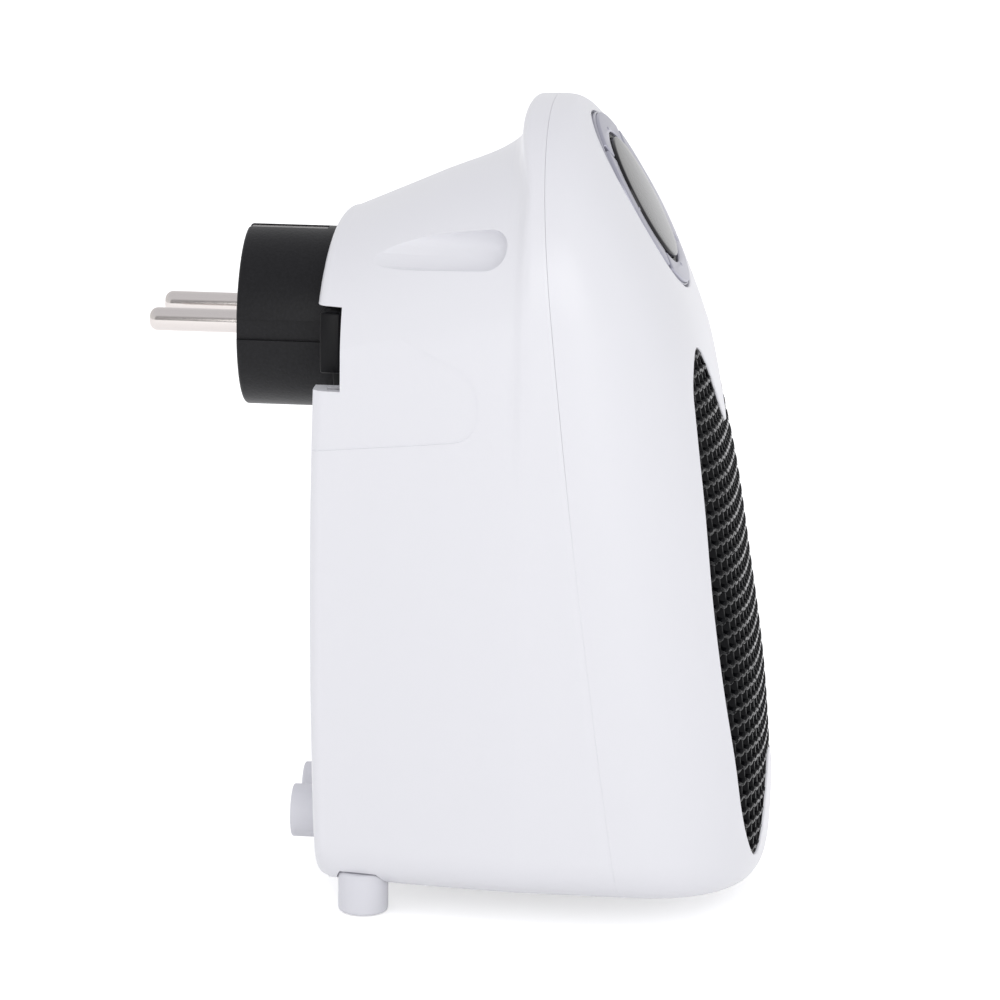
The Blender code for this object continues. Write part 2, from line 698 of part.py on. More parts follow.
def front_shell():
    shell = piece("front_shell", front_form("front_shell", 0, -SEAM_GAP / 2), WHITE)
    cut(shell, helper("front_hollow", front_form("front_hollow", WALL, OVERRUN)))
    bosses = helper("front_bosses", block("front_bosses", *dial_ear_block(-1)), dial_frame)
    join(bosses, helper("dial_boss", block("dial_boss", *dial_ear_block(1)), dial_frame))
    for index, (x, z) in enumerate(case_places()):
        name = f"case_boss_{index}"
        start = seam_reach(z) + SEAM_GAP / 2
        boss = drum(name, CASE_TUBE_RADIUS, start, FRONT_REACH, (x, z), 20)
        join(bosses, helper(name, boss, front_frame))
    boolean(bosses, helper("front_trim", front_form("front_trim", WALL / 2, -SEAM_GAP / 2)), "INTERSECT")
    join(shell, bosses)
    outlet = prism("outlet", outlet_outline(0), 0, FRONT_REACH + OVERRUN)
    cut(shell, helper("outlet", outlet, front_frame))
    seat = drum("dial_seat", DIAL_RADIUS + FIT, -BEZEL_DEPTH - OVERRUN, SEAM_FOOT, (0, 0), 48)
    cut(shell, helper("dial_seat", seat, dial_frame))
    for index, (x, z) in enumerate(case_places()):
        name = f"case_pilot_{index}"
        seam = seam_reach(z)
        end = seam + CASE_SCREW_GRIP + FIT
        cut(shell, helper(name, drum(name, SCREW_RADIUS + FIT, seam - OVERRUN, end, (x, z), 16), front_frame))
    for side in (-1, 1):
        name = f"dial_pilot_{side}"
        start = -BEZEL_DEPTH
        end = start + BEZEL_FLOOR + FIT + EAR_PILOT
        hole = drum(name, SMALL_SCREW_RADIUS + FIT, start, end, (side * ear_middle(), 0), 12)
        cut(shell, helper(name, hole, dial_frame))
    return shell


def ear_middle():
    return DIAL_RADIUS + EAR_REACH / 2


def dial_ear_block(side):
    """The boss inside the front shell that an ear of the bezel is screwed to."""
    near = DIAL_RADIUS - OVERRUN
    far = DIAL_RADIUS + EAR_REACH
    low = (min(side * near, side * far), -EAR_WIDTH / 2, -BEZEL_DEPTH + BEZEL_FLOOR + FIT)
    high = (max(side * near, side * far), EAR_WIDTH / 2, BEZEL_DEPTH)
    return low, high


def hexagon_cells():
    """Cutters for the grille's cells: hexagons in offset rows, drawn out along the frame's Z."""
    shape = bmesh.new()
    rise = CELL_PITCH * math.sqrt(3) / 2
    radius = (CELL_PITCH - CELL_RIB) / math.sqrt(3)
    middle_height = (OUTLET_TOP + OUTLET_FOOT) / 2
    border = outlet_outline(-GRILLE_BORDER)
    rows = int(OUTLET_TOP / rise) + 1
    columns = int(OUTLET_WIDTH / CELL_PITCH) + 1
    for row in range(-rows, rows + 1):
        for column in range(-columns, columns + 1):
            x = (column + (row % 2) / 2) * CELL_PITCH
            z = middle_height + row * rise
            if not all(within(border, x + dx, z + dz) for dx, dz in arc(radius, 0, 2 * math.pi, 6)):
                continue
            middle = Matrix.Translation((x, z, FRONT_REACH / 2)) @ Matrix.Rotation(math.pi / 6, 4, "Z")
            bmesh.ops.create_cone(
                shape, cap_ends=True, segments=6, radius1=radius, radius2=radius,
                depth=FRONT_REACH + 2 * OVERRUN, matrix=middle,
            )
    return helper("grille_cells", mesh_from("grille_cells", shape), front_frame)


def within(ring, x, z):
    """Whether a point lies inside a closed ring of (x, z) points."""
    inside = False
    for (x0, z0), (x1, z1) in zip(ring, ring[1:] + ring[:1]):
        if (z0 > z) != (z1 > z) and x < lerp(x0, x1, (z - z0) / (z1 - z0)):
            inside = not inside
    return inside


def outlet_grille():
    """A honeycomb that fills the outlet, with a flange behind the front shell's wall."""
    grille = piece("outlet_grille", front_form("outlet_grille", GRILLE_SINK, 0), DARK_GREY)
    window = prism("grille_window", outlet_outline(-FIT), 0, FRONT_REACH + OVERRUN)
    boolean(grille, helper("grille_window", window, front_frame), "INTERSECT")
    flange = helper("grille_flange", front_form("grille_flange", WALL + FIT, 0))
    wide = outlet_outline(GRILLE_FLANGE)
    edge = helper("flange_window", prism("flange_window", wide, 0, FRONT_REACH + OVERRUN), front_frame)
    boolean(flange, edge, "INTERSECT")
    join(grille, flange)
    cut(grille, helper("grille_back", front_form("grille_back", GRILLE_SINK + GRILLE_DEPTH, OVERRUN)))
    cut(grille, hexagon_cells())
    return grille


def dial():
    """The bezel with its four arc buttons, the display lens and the board behind them."""
    wall_in = DIAL_RADIUS - BEZEL_WALL
    divider = LENS_RADIUS + FIT
    floor = -BEZEL_DEPTH + BEZEL_FLOOR
    bezel = turned("control_bezel", [
        (DIAL_RADIUS, BUTTON_PROUD / 2), (DIAL_RADIUS, -BEZEL_DEPTH), (LENS_RADIUS - LENS_LEDGE, -BEZEL_DEPTH),
        (LENS_RADIUS - LENS_LEDGE, floor), (divider, floor), (divider, 0), (divider + BEZEL_WALL, 0),
        (divider + BEZEL_WALL, floor), (wall_in, floor), (wall_in, BUTTON_PROUD / 2),
    ], SILVER, dial_frame, 48)
    for side in (-1, 1):
        x = sorted((side * (DIAL_RADIUS - BEZEL_WALL / 2), side * (DIAL_RADIUS + EAR_REACH)))
        ear = block(f"ear_{side}", (x[0], -EAR_WIDTH / 2, -BEZEL_DEPTH + FIT), (x[1], EAR_WIDTH / 2, floor))
        join(bezel, helper(f"ear_{side}", ear, dial_frame))
        name = f"ear_hole_{side}"
        hole = drum(name, SMALL_SCREW_RADIUS + FIT, -BEZEL_DEPTH - OVERRUN, floor + OVERRUN, (side * ear_middle(), 0), 12)
        cut(bezel, helper(name, hole, dial_frame))
    inner, outer = divider + BEZEL_WALL + FIT, wall_in - FIT
    gap = BUTTON_GAP / 2 / inner
    for index, name in enumerate(("top", "far", "bottom", "near")):
        start = math.pi / 4 - index * math.pi / 2 + gap
        end = start + math.pi / 2 - 2 * gap
        outline = arc(outer, start, end, 10) + arc(inner, end, start, 10)
        low = floor + BUTTON_TRAVEL + FIT
        piece(f"{name}_button", prism(f"{name}_button", outline, low, BUTTON_PROUD), SILVER, dial_frame)
    lens_low = floor + FIT
    dome = [
        (LENS_RADIUS * math.cos(turn), BUTTON_PROUD / 2 + LENS_DOME * math.sin(turn))
        for turn in (math.pi / 2 * (1 - step / 5) for step in range(6))
    ]
    dome[0] = (0, dome[0][1])
    lens = turned("display_lens", dome + [(LENS_RADIUS, lens_low), (0, lens_low)], BLACK_GLOSS, dial_frame, 48)
    top = -BEZEL_DEPTH - FIT
    board = drum("display_board", DISPLAY_BOARD_RADIUS, top - BOARD, top, (0, 0), 32)
    board = piece("display_board", board, BOARD_GREEN, dial_frame)
    join(board, helper("display_unit", block(
        "display_unit",
        (-DISPLAY_WIDTH / 2, -DISPLAY_HEIGHT / 2, top - BOARD / 2),
        (DISPLAY_WIDTH / 2, DISPLAY_HEIGHT / 2, lens_low - FIT),
    ), dial_frame))
    return lens


def plug():
    """The swivel plug: body, pins, earth clips, the collar with its lug, and the retainer inside."""
    inner_end = -RECESS_DEPTH - WALL
    rim = PLUG_RADIUS - PLUG_CHAMFER
    body = turned("plug_body", [
        (0, PLUG_REACH), (rim, PLUG_REACH), (PLUG_RADIUS, PLUG_REACH - PLUG_CHAMFER),
        (PLUG_RADIUS, inner_end), (0, inner_end),
    ], BLACK, plug_frame, 48)
    for side in (-1, 1):
        x = sorted((side * (PLUG_RADIUS - GUIDE_DEPTH), side * (PLUG_RADIUS + OVERRUN)))
        groove = block(f"guide_{side}", (x[0], -GUIDE_WIDTH / 2, FIT), (x[1], GUIDE_WIDTH / 2, PLUG_REACH + OVERRUN))
        cut(body, helper(f"guide_{side}", groove, plug_frame))
        y = sorted((side * (PLUG_RADIUS + CLIP_PROUD - CLIP_THICK - FIT), side * (PLUG_RADIUS + OVERRUN)))
        slot = block(
            f"clip_slot_{side}",
            (-CLIP_WIDTH / 2 - FIT, y[0], PLUG_REACH - PLUG_CHAMFER - CLIP_LENGTH - FIT),
            (CLIP_WIDTH / 2 + FIT, y[1], PLUG_REACH + OVERRUN),
        )
        cut(body, helper(f"clip_slot_{side}", slot, plug_frame))
        y = sorted((side * (PLUG_RADIUS + CLIP_PROUD - CLIP_THICK), side * (PLUG_RADIUS + CLIP_PROUD)))
        name = ("upper", "lower")[side > 0] + "_earth_clip"
        clip = block(
            name,
            (-CLIP_WIDTH / 2, y[0], PLUG_REACH - PLUG_CHAMFER - CLIP_LENGTH),
            (CLIP_WIDTH / 2, y[1], PLUG_REACH - PLUG_CHAMFER),
        )
        piece(name, clip, STEEL, plug_frame)
        x = side * PIN_SPACING / 2
        hole = drum(f"pin_hole_{side}", PIN_RADIUS + FIT, PLUG_REACH - PIN_ROOT - FIT, PLUG_REACH + OVERRUN, (x, 0), 20)
        cut(body, helper(f"pin_hole_{side}", hole, plug_frame))
        seat = place(f"pin_seat_{side}", (x, 0, 0), parent=plug_frame)
        tip = [(PIN_RADIUS * math.sin(turn), PIN_TIP * (math.cos(turn) - 1)) for turn in
               (math.pi / 2 * step / 4 for step in range(5))]
        profile = [(radius, PLUG_REACH + PIN_LENGTH + drop) for radius, drop in tip]
        profile += [(PIN_RADIUS, PLUG_REACH - PIN_ROOT), (0, PLUG_REACH - PIN_ROOT)]
        turned(("near", "far")[side > 0] + "_pin", profile, NICKEL, seat, 20)
    for angle in (0, math.pi):
        at = (RETAINER_SCREW_RADIUS * math.cos(angle), RETAINER_SCREW_RADIUS * math.sin(angle))
        name = f"retainer_pilot_{angle:.0f}"
        hole = drum(name, SMALL_SCREW_RADIUS + FIT, inner_end - OVERRUN, inner_end + RETAINER_GRIP + FIT, at, 12)
        cut(body, helper(name, hole, plug_frame))
    collar()
    retainer(inner_end)


def collar():
    """The ring round the plug in the recess, with the lug that shows in the flank's notch."""
    low = -RECESS_DEPTH + FIT
    ring = turned("swivel_collar", [
        (COLLAR_RADIUS, -COLLAR_TOP), (COLLAR_RADIUS, low), (PLUG_RADIUS + FIT, low), (PLUG_RADIUS + FIT, -COLLAR_TOP),
    ], BLACK, plug_frame, 40)
    half = math.asin(LUG_WIDTH / 2 / LUG_REACH)
    root = PLUG_RADIUS + FIT + (COLLAR_RADIUS - PLUG_RADIUS - FIT) / 2
    outline = arc(LUG_REACH, math.pi - half, math.pi + half, 6)
    outline += [(-root, -LUG_WIDTH / 2), (-root, LUG_WIDTH / 2)]
    lug = helper("lug", prism("lug", outline, -LUG_TOP - LUG_THICK, -LUG_TOP), plug_frame)
    join(ring, lug)
    return ring


def retainer(inner_end):
    top = inner_end - FIT
    plate = drum("swivel_retainer", RETAINER_RADIUS, top - RETAINER_THICK, top, (0, 0), 40)
    plate = piece("swivel_retainer", plate, BLACK, plug_frame)
    for index, angle in enumerate((0, math.pi)):
        at = (RETAINER_SCREW_RADIUS * math.cos(angle), RETAINER_SCREW_RADIUS * math.sin(angle))
        name = f"retainer_hole_{index}"
        hole = drum(name, SMALL_SCREW_RADIUS + FIT, top - RETAINER_THICK - OVERRUN, top + OVERRUN, at, 12)
        cut(plate, helper(name, hole, plug_frame))
        head = top - RETAINER_THICK - FIT
        small_screw(f"retainer_screw_{index + 1}", plug_frame, at, head, inner_end + RETAINER_GRIP, 1)


def screw(name, parent, at, seat, tip, side, sizes):
    """A pan-head screw: its head lies beyond the seat, and the shank runs to the tip."""
    shank, head, height = sizes
    holder = place(name + "_seat", (*at, 0), parent=parent)
    top = seat - side * height
    profile = [(0, top), (head * 0.8, top), (head, lerp(top, seat, 0.5)), (head, seat), (shank, seat), (shank, tip), (0, tip)]
    if side > 0:
        profile.reverse()
    return turned(name, profile, STEEL, holder, 12)


def small_screw(name, parent, at, seat, tip, side):
    return screw(name, parent, at, seat, tip, side, (SMALL_SCREW_RADIUS, SMALL_SCREW_HEAD, SMALL_HEAD_HEIGHT))


def supports():
    for side, hand in ((-1, "near"), (1, "far")):
        x = side * (HALF_WIDTH - FOOT_INSET)
        foot = [(0, FOOT_LENGTH), (FOOT_RADIUS, FOOT_LENGTH), (FOOT_RADIUS, 0), (0, 0)]
        turned(f"{hand}_foot", foot, WHITE, place(f"{hand}_foot_axis", (x, y_at(-FOOT_REACH), 0)), 24)
        x = side * BUMPER_SPACING / 2
        seat = -back_reach(BUMPER_HEIGHT + BUMPER_RADIUS) + FIT
        end = BACK_REACH + BUMPER_REACH
        axis = place(f"{hand}_bumper_axis", (x, y_at(0), BUMPER_HEIGHT), BACKWARD)
        turned(f"{hand}_wall_bumper", [
            (0, end), (BUMPER_RADIUS, end), (BUMPER_RADIUS, seat), (BUMPER_PEG, seat),
            (BUMPER_PEG, seat - BUMPER_PEG_LENGTH), (0, seat - BUMPER_PEG_LENGTH),
        ], WHITE, axis, 28)


def case_screws():
    for index, (x, z) in enumerate(case_places()):
        seam = seam_reach(z)
        seat = seam - CASE_HEAD_DEPTH - FIT
        sizes = (SCREW_RADIUS, SCREW_HEAD, SCREW_HEAD_HEIGHT)
        screw(f"case_screw_{index + 1}", front_frame, (x, z), seat, seam + CASE_SCREW_GRIP, 1, sizes)


def fan_duct():
    """The round duct with a square flange at the front and four ears at the back."""
    back, front = -DUCT_BACK, DUCT_FRONT
    inner = DUCT_RADIUS - DUCT_WALL
    duct = turned("fan_duct", [
        (DUCT_RADIUS, front - FIT), (DUCT_RADIUS, back + FIT), (inner, back + FIT), (inner, front - FIT),
    ], DARK_GREY, fan_frame, 40)
    half = CORE_FRAME_WIDTH / 2
    flange = helper("duct_flange", block("duct_flange", (-half, -half, front - FLANGE_THICK), (half, half, front)), fan_frame)
    lap = inner + DUCT_WALL / 2
    bore = drum("flange_bore", lap, front - FLANGE_THICK - OVERRUN, front + OVERRUN, (0, 0), 40)
    cut(flange, helper("flange_bore", bore, fan_frame))
    join(duct, flange)
    for index, at in enumerate(duct_ears()):
        ear(duct, f"duct_ear_{index}", at, back, back + EAR_THICK, lap)
    return duct


def ear(target, name, at, low, high, inner):
    """A round ear with its screw hole, joined to a duct's wall."""
    lug = helper(name, drum(name, POST_RADIUS, low, high, at, 16), fan_frame)
    cut(lug, helper(name + "_trim", drum(name + "_trim", inner, low - OVERRUN, high + OVERRUN, (0, 0), 40), fan_frame))
    join(target, lug)
    hole = drum(name + "_hole", SMALL_SCREW_RADIUS + FIT, low - OVERRUN, high + OVERRUN, at, 12)
    cut(target, helper(name + "_hole", hole, fan_frame))


def motor_bracket():
    """A ring with three arms and a cup that holds the motor, clamped between posts and duct."""
    high = -DUCT_BACK - FIT
    low = high - EAR_THICK
    inner = DUCT_RADIUS - 2 * DUCT_WALL
    bracket = turned("motor_bracket", [
        (DUCT_RADIUS, high - FIT), (DUCT_RADIUS, low + FIT), (inner, low + FIT), (inner, high - FIT),
    ], DARK_GREY, fan_frame, 40)
    cup_in = MOTOR_RADIUS + FIT
    cup = turned("motor_cup", [
        (cup_in + CUP_WALL, -MOTOR_NOSE - FIT), (cup_in + CUP_WALL, low - FIT),
        (cup_in, low - FIT), (cup_in, -MOTOR_NOSE - FIT),
    ], None, fan_frame, 32)
    reach = (inner + DUCT_RADIUS) / 2
    for index in range(3):
        turn = math.pi / 2 + index * 2 * math.pi / 3
        arm = helper(
            f"arm_{index}",
            block(f"arm_{index}", (cup_in + CUP_WALL / 2, -ARM_WIDTH / 2, low), (reach, ARM_WIDTH / 2, high)),
            place(f"arm_turn_{index}", (0, 0, 0), (0, 0, turn), fan_frame),
        )
        join(bracket, arm)
    join(bracket, cup)
    for index, at in enumerate(duct_ears()):
        ear(bracket, f"bracket_ear_{index}", at, low, high, reach)
        small_screw(
            f"duct_screw_{index + 1}", fan_frame, at, -DUCT_BACK + EAR_THICK + FIT,
            low - SMALL_SCREW_LENGTH + EAR_THICK, -1,
        )
    return bracket


def motor():
    """The fan motor, with a blind hole for the rotor's shaft."""
    back = -MOTOR_NOSE - MOTOR_LENGTH
    bore = SHAFT_RADIUS + FIT
    root = -MOTOR_NOSE - SHAFT_ROOT - FIT
    return turned("fan_motor", [
        (0, root), (bore, root), (bore, -MOTOR_NOSE), (MOTOR_RADIUS, -MOTOR_NOSE), (MOTOR_RADIUS, back), (0, back),
    ], STEEL, fan_frame, 32)


def fan():
    """The impeller and its shaft, which turn together."""
    start = -MOTOR_NOSE - SHAFT_ROOT
    end = start + SHAFT_LENGTH
    turned("motor_shaft", [(0, end), (SHAFT_RADIUS, end), (SHAFT_RADIUS, start), (0, start)], STEEL, fan_frame, 16)
    low = -MOTOR_NOSE + FAN_GAP
    high = low + HUB_LENGTH
    bore = SHAFT_RADIUS + FIT
    impeller = turned("fan_impeller", [
        (0, high), (HUB_RADIUS, high), (HUB_RADIUS, low), (bore, low), (bore, end + FIT), (0, end + FIT),
    ], DARK_GREY, fan_frame, 28)
    tip = DUCT_RADIUS - DUCT_WALL - BLADE_TIP_GAP
    middle = (low + high) / 2
    for index in range(BLADES):
        turn = 2 * math.pi * index / BLADES
        root = HUB_RADIUS - BLADE_THICK
        blade = block(
            f"blade_{index}", (root, -BLADE_THICK / 2, -BLADE_CHORD / 2), (tip, BLADE_THICK / 2, BLADE_CHORD / 2)
        )
        spoke = place(f"blade_turn_{index}", (0, 0, middle), (0, 0, turn), fan_frame)
        blade = helper(f"blade_{index}", blade, spoke)
        blade.rotation_euler = (BLADE_PITCH, 0, 0)
        join(impeller, blade)
    return impeller


def heating_core():
    """The frame in front of the duct, the finned core in it and the thermal cutout on top."""
    low = DUCT_FRONT + FIT
    high = low + CORE_FRAME_DEPTH
    half = CORE_FRAME_WIDTH / 2
    frame = piece("heater_frame", block("heater_frame", (-half, -half, low), (half, half, high)), DARK_GREY, fan_frame)
    room = CORE_WIDTH / 2 + FIT
    ledge = CORE_LEDGE
    opening = block("core_window", (-room + ledge, -room + ledge, low - OVERRUN), (room - ledge, room - ledge, high + OVERRUN))
    cut(frame, helper("core_window", opening, fan_frame))
    seat = low + (CORE_FRAME_DEPTH - CORE_DEPTH) / 2
    pocket = block("core_pocket", (-room, -room, seat), (room, room, high + OVERRUN))
    cut(frame, helper("core_pocket", pocket, fan_frame))
    edge = CORE_WIDTH / 2
    core = block("ptc_core", (-edge, -edge, seat + FIT), (edge, edge, seat + CORE_DEPTH))
    core = piece("ptc_core", core, ALUMINIUM, fan_frame)
    gaps = bmesh.new()
    count = int(FIN_HEIGHT / FIN_PITCH)
    for index in range(count):
        x = (index - (count - 1) / 2) * FIN_PITCH
        size = Matrix.Diagonal((FIN_GAP, FIN_HEIGHT, CORE_FRAME_DEPTH + OVERRUN, 1))
        bmesh.ops.create_cube(gaps, size=1, matrix=Matrix.Translation((x, 0, (low + high) / 2)) @ size)
    cut(core, helper("fin_gaps", mesh_from("fin_gaps", gaps), fan_frame))
    top = place("cutout_axis", (0, y_at((low + high) / 2), FAN_HEIGHT + half + FIT))
    turned("thermal_cutout", [
        (0, CUTOUT_HEIGHT), (CUTOUT_RADIUS * 0.7, CUTOUT_HEIGHT), (CUTOUT_RADIUS * 0.7, CUTOUT_HEIGHT / 2),
        (CUTOUT_RADIUS, CUTOUT_HEIGHT / 2), (CUTOUT_RADIUS, 0), (0, 0),
    ], STEEL, top, 20)


def power_board():
    """The mains board in front of the plug, with its relay and capacitor."""
    low, high = -POWER_BOARD_BACK, -POWER_BOARD_BACK + BOARD
    x, z = POWER_BOARD_WIDTH / 2, POWER_BOARD_HEIGHT / 2
    board = block(
        "power_board", (-x, POWER_BOARD_MIDDLE - z, low), (x, POWER_BOARD_MIDDLE + z, high)
    )
    board = piece("power_board", board, BOARD_GREEN, front_frame)
    root = high - BOARD / 2
    relay = block("relay", (-RELAY, POWER_BOARD_MIDDLE - RELAY / 2, root), (0, POWER_BOARD_MIDDLE + RELAY / 2, high + RELAY_HEIGHT))
    join(board, helper("relay", relay, front_frame))
    spot = (RELAY, POWER_BOARD_MIDDLE)
    join(board, helper("capacitor", drum("capacitor", CAPACITOR_RADIUS, root, high + RELAY, spot, 20), front_frame))
    for index, at in enumerate(power_places()):
        name = f"board_hole_{index}"
        hole = drum(name, SMALL_SCREW_RADIUS + FIT, low - OVERRUN, high + OVERRUN, at, 12)
        cut(board, helper(name, hole, front_frame))
        small_screw(f"board_screw_{index + 1}", front_frame, at, high + FIT, low - SMALL_SCREW_LENGTH + BOARD, -1)


def power_switch():
    """The rocker, tilted to its off side, in a housing let into the far flank."""
    middle = switch_place()
    half_y = ROCKER_WIDTH / 2 + SWITCH_WALL
    outer = flank_width(SWITCH_HEIGHT, SWITCH_REACH + half_y + SWITCH_LIP)
    half_z = ROCKER_HEIGHT / 2 + SWITCH_WALL
    face = outer + SWITCH_PROUD
    housing = block(
        "switch_housing",
        middle + Vector((outer - SWITCH_DEPTH + WALL + FIT, -half_y, -half_z)), middle + Vector((face, half_y, half_z)),
    )
    housing = piece("switch_housing", housing, BLACK)
    lip = SWITCH_LIP
    join(housing, helper("switch_lip", block(
        "switch_lip",
        middle + Vector((outer + FIT, -half_y - lip, -half_z - lip)), middle + Vector((face, half_y + lip, half_z + lip)),
    )))
    pivot_x = face - ROCKER_THICK / 2
    room_y, room_z = ROCKER_WIDTH / 2 + FIT, ROCKER_HEIGHT / 2 + 2 * FIT
    well = ROCKER_THICK + ROCKER_HEIGHT / 2 * math.tan(2 * ROCKER_TILT)
    cut(housing, helper("switch_well", block(
        "switch_well",
        middle + Vector((face - well, -room_y, -room_z)), middle + Vector((face + OVERRUN, room_y, room_z)),
    )))
    pivot = place("rocker_pivot", middle + Vector((pivot_x, 0, 0)), (math.pi / 2, -ROCKER_TILT, 0))
    half = ROCKER_HEIGHT / 2
    rise = half * math.tan(ROCKER_TILT)
    thick = ROCKER_THICK / 2
    outline = [(-thick, -half), (thick + rise - thick / 2, -half), (thick / 2, 0), (thick + rise - thick / 2, half), (-thick, half)]
    outline = [(x, y) for x, y in outline]
    piece("power_rocker", prism("power_rocker", outline, -ROCKER_WIDTH / 2, ROCKER_WIDTH / 2), BLACK, pivot)


rear_shell()
front_shell()
outlet_grille()
dial()
plug()
supports()
case_screws()
fan_duct()
motor_bracket()
motor()
fan()
heating_core()
power_board()
power_switch()
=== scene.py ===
import json
import math

import bmesh
import bpy
import numpy as np
from mathutils import Matrix, Vector, geometry


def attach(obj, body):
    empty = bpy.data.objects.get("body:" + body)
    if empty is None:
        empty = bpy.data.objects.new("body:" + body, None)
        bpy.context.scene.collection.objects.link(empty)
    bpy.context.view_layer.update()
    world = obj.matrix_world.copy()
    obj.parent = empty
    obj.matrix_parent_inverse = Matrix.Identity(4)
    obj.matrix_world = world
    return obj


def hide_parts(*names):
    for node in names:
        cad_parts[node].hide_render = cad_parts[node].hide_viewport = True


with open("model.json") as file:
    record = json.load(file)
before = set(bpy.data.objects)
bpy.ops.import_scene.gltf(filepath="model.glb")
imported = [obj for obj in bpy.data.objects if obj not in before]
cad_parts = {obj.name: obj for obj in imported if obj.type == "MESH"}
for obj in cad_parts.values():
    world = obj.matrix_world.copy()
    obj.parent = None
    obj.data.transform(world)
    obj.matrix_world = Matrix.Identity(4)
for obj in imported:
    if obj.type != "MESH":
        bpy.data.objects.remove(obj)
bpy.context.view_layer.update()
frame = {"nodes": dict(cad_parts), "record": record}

# Looks for the plug-in fan heater: the camera, the light, smooth shells, the fine honeycomb and the finishes.
# Metres; X across, -Y to the front, Z up. Reaches are counted forward from a plane through the flank.

MM = 0.001
FIT = 0.3 * MM
OVERRUN = 2 * MM
QUARTER = math.pi / 2  # a quarter turn
MERGE = 0.004 * MM
WALL = 2.2 * MM
MIDDLE = -6.95 * MM  # world Y of reach 0

# Body
BODY_WIDTH = 89 * MM
HALF = BODY_WIDTH / 2
CROWN = 163.1 * MM
BASE = 6 * MM
SHOULDER = 124 * MM
CORNER = 9 * MM
FRONT_REACH = 57.15 * MM
BACK_REACH = 34.7 * MM
BACK_BOW = 1.6 * MM
BACK_EDGE = 2.5 * MM
BACK_WIDTH = 75.2 * MM
BACK_TOP = 138.9 * MM
SEAM_FOOT = 29.2 * MM
SEAM_HEAD = 10.3 * MM
SEAM_BOW = 1.4 * MM
SEAM_GAP = 0.05 * MM
SEAM_FOOT_GAP = 0.008 * MM
SEAM_OPENS = (70 * MM, 110 * MM)
SEAM_ROUND = ((0, 0.05), (0.015, 0.015), (0.05, 0))  # drop and setback of the rear shell's edge in mm
CROWN_POWER = 2.25
FRONT_POWER = 2.7
FRONT_SHARES = (  # height, and reach as a share of FRONT_REACH
    (0, 0.968), (0.010, 0.985), (0.03, 0.996), (0.07, 1), (0.158, 0.990), (0.268, 0.960),
    (0.404, 0.902), (0.513, 0.852), (0.62, 0.785), (0.699, 0.730), (0.776, 0.648), (0.852, 0.550),
    (0.903, 0.466), (0.968, 0.340), (0.985, 0.302), (1, 0.256),
)
RIM = 0.9  # share of the way from the back to the seam where the rim's rear edge lies
RIM_REACH = 8.2 * MM  # the edge's reach on the flank
RIM_HEAD = 5 * MM  # and at the crown
RIM_BEND = (147 * MM, 163 * MM)
FLARE_STARTS = (85 * MM, 117 * MM)
TOP_LINE = (  # share of that way, and the rear shell's top in mm
    (0, 138.9), (0.4, 146.55), (0.80, 154.25), (0.828, 155.4), (0.86, 157.2), (0.875, 158.65),
    (0.885, 159.9), (0.90, 161.5), (0.915, 162.5), (0.935, 162.95), (1, 163.1),
)
FLARED_SHARES = (  # the same way, and how far the shell has widened: high up
    (0, 0), (0.10, 0.12), (0.35, 0.45), (0.60, 0.72), (0.80, 0.865), (0.86, 0.895), (0.90, 0.975),
    (0.93, 0.995), (1, 1),
)
PLAIN_SHARES = (  # and low down
    (0, 0), (0.10, 0.12), (0.35, 0.45), (0.60, 0.72), (0.80, 0.885), (0.86, 0.925), (0.90, 0.95),
    (0.93, 0.967), (1, 1),
)

# Outlet
OUTLET_WIDTH = 65 * MM
OUTLET_TOP = 115.6 * MM
OUTLET_MIDDLE = 63.6 * MM
OUTLET_FOOT = 11.6 * MM
OUTLET_SHARES = (  # half width and height of the opening's edge, from its top's dip to its foot's
    (0, 0.826), (0.075, 0.838), (0.17, 0.873), (0.28, 0.925), (0.39, 0.970), (0.46, 0.992), (0.53, 1),
    (0.60, 0.996), (0.68, 0.981), (0.755, 0.957), (0.81, 0.928), (0.84, 0.893), (0.90, 0.804), (0.957, 0.671),
    (0.99, 0.536), (1, 0.418), (0.988, 0.318), (0.942, 0.195), (0.89, 0.092), (0.838, 0.053), (0.76, 0.020),
    (0.69, 0.004), (0.625, 0), (0.565, 0.007), (0.50, 0.026), (0.41, 0.065), (0.317, 0.102), (0.19, 0.137),
    (0.08, 0.156), (0, 0.162),
)

# Dial
DIAL_HEIGHT = 142.9 * MM
DIAL_TILT = math.radians(29.4)
DIAL_REACH = 28.2 * MM

# Plug
PLUG_HEIGHT = 116.5 * MM
PLUG_RADIUS = 18.5 * MM
PLUG_REACH = 17.6 * MM
COLLAR_RADIUS = 20.6 * MM
RECESS_RADIUS = 32 * MM
RECESS_DEPTH = 7.2 * MM
NOTCH_HEIGHT = 16.6 * MM
NOTCH_DEPTH = 6.2 * MM
FAN_HEIGHT = 60 * MM


def y_at(reach):
    return MIDDLE - reach


def lerp(a, b, share):
    return a + (b - a) * share


def smoothstep(low, high, value):
    t = np.clip((value - low) / (high - low), 0, 1)
    return t * t * (3 - 2 * t)


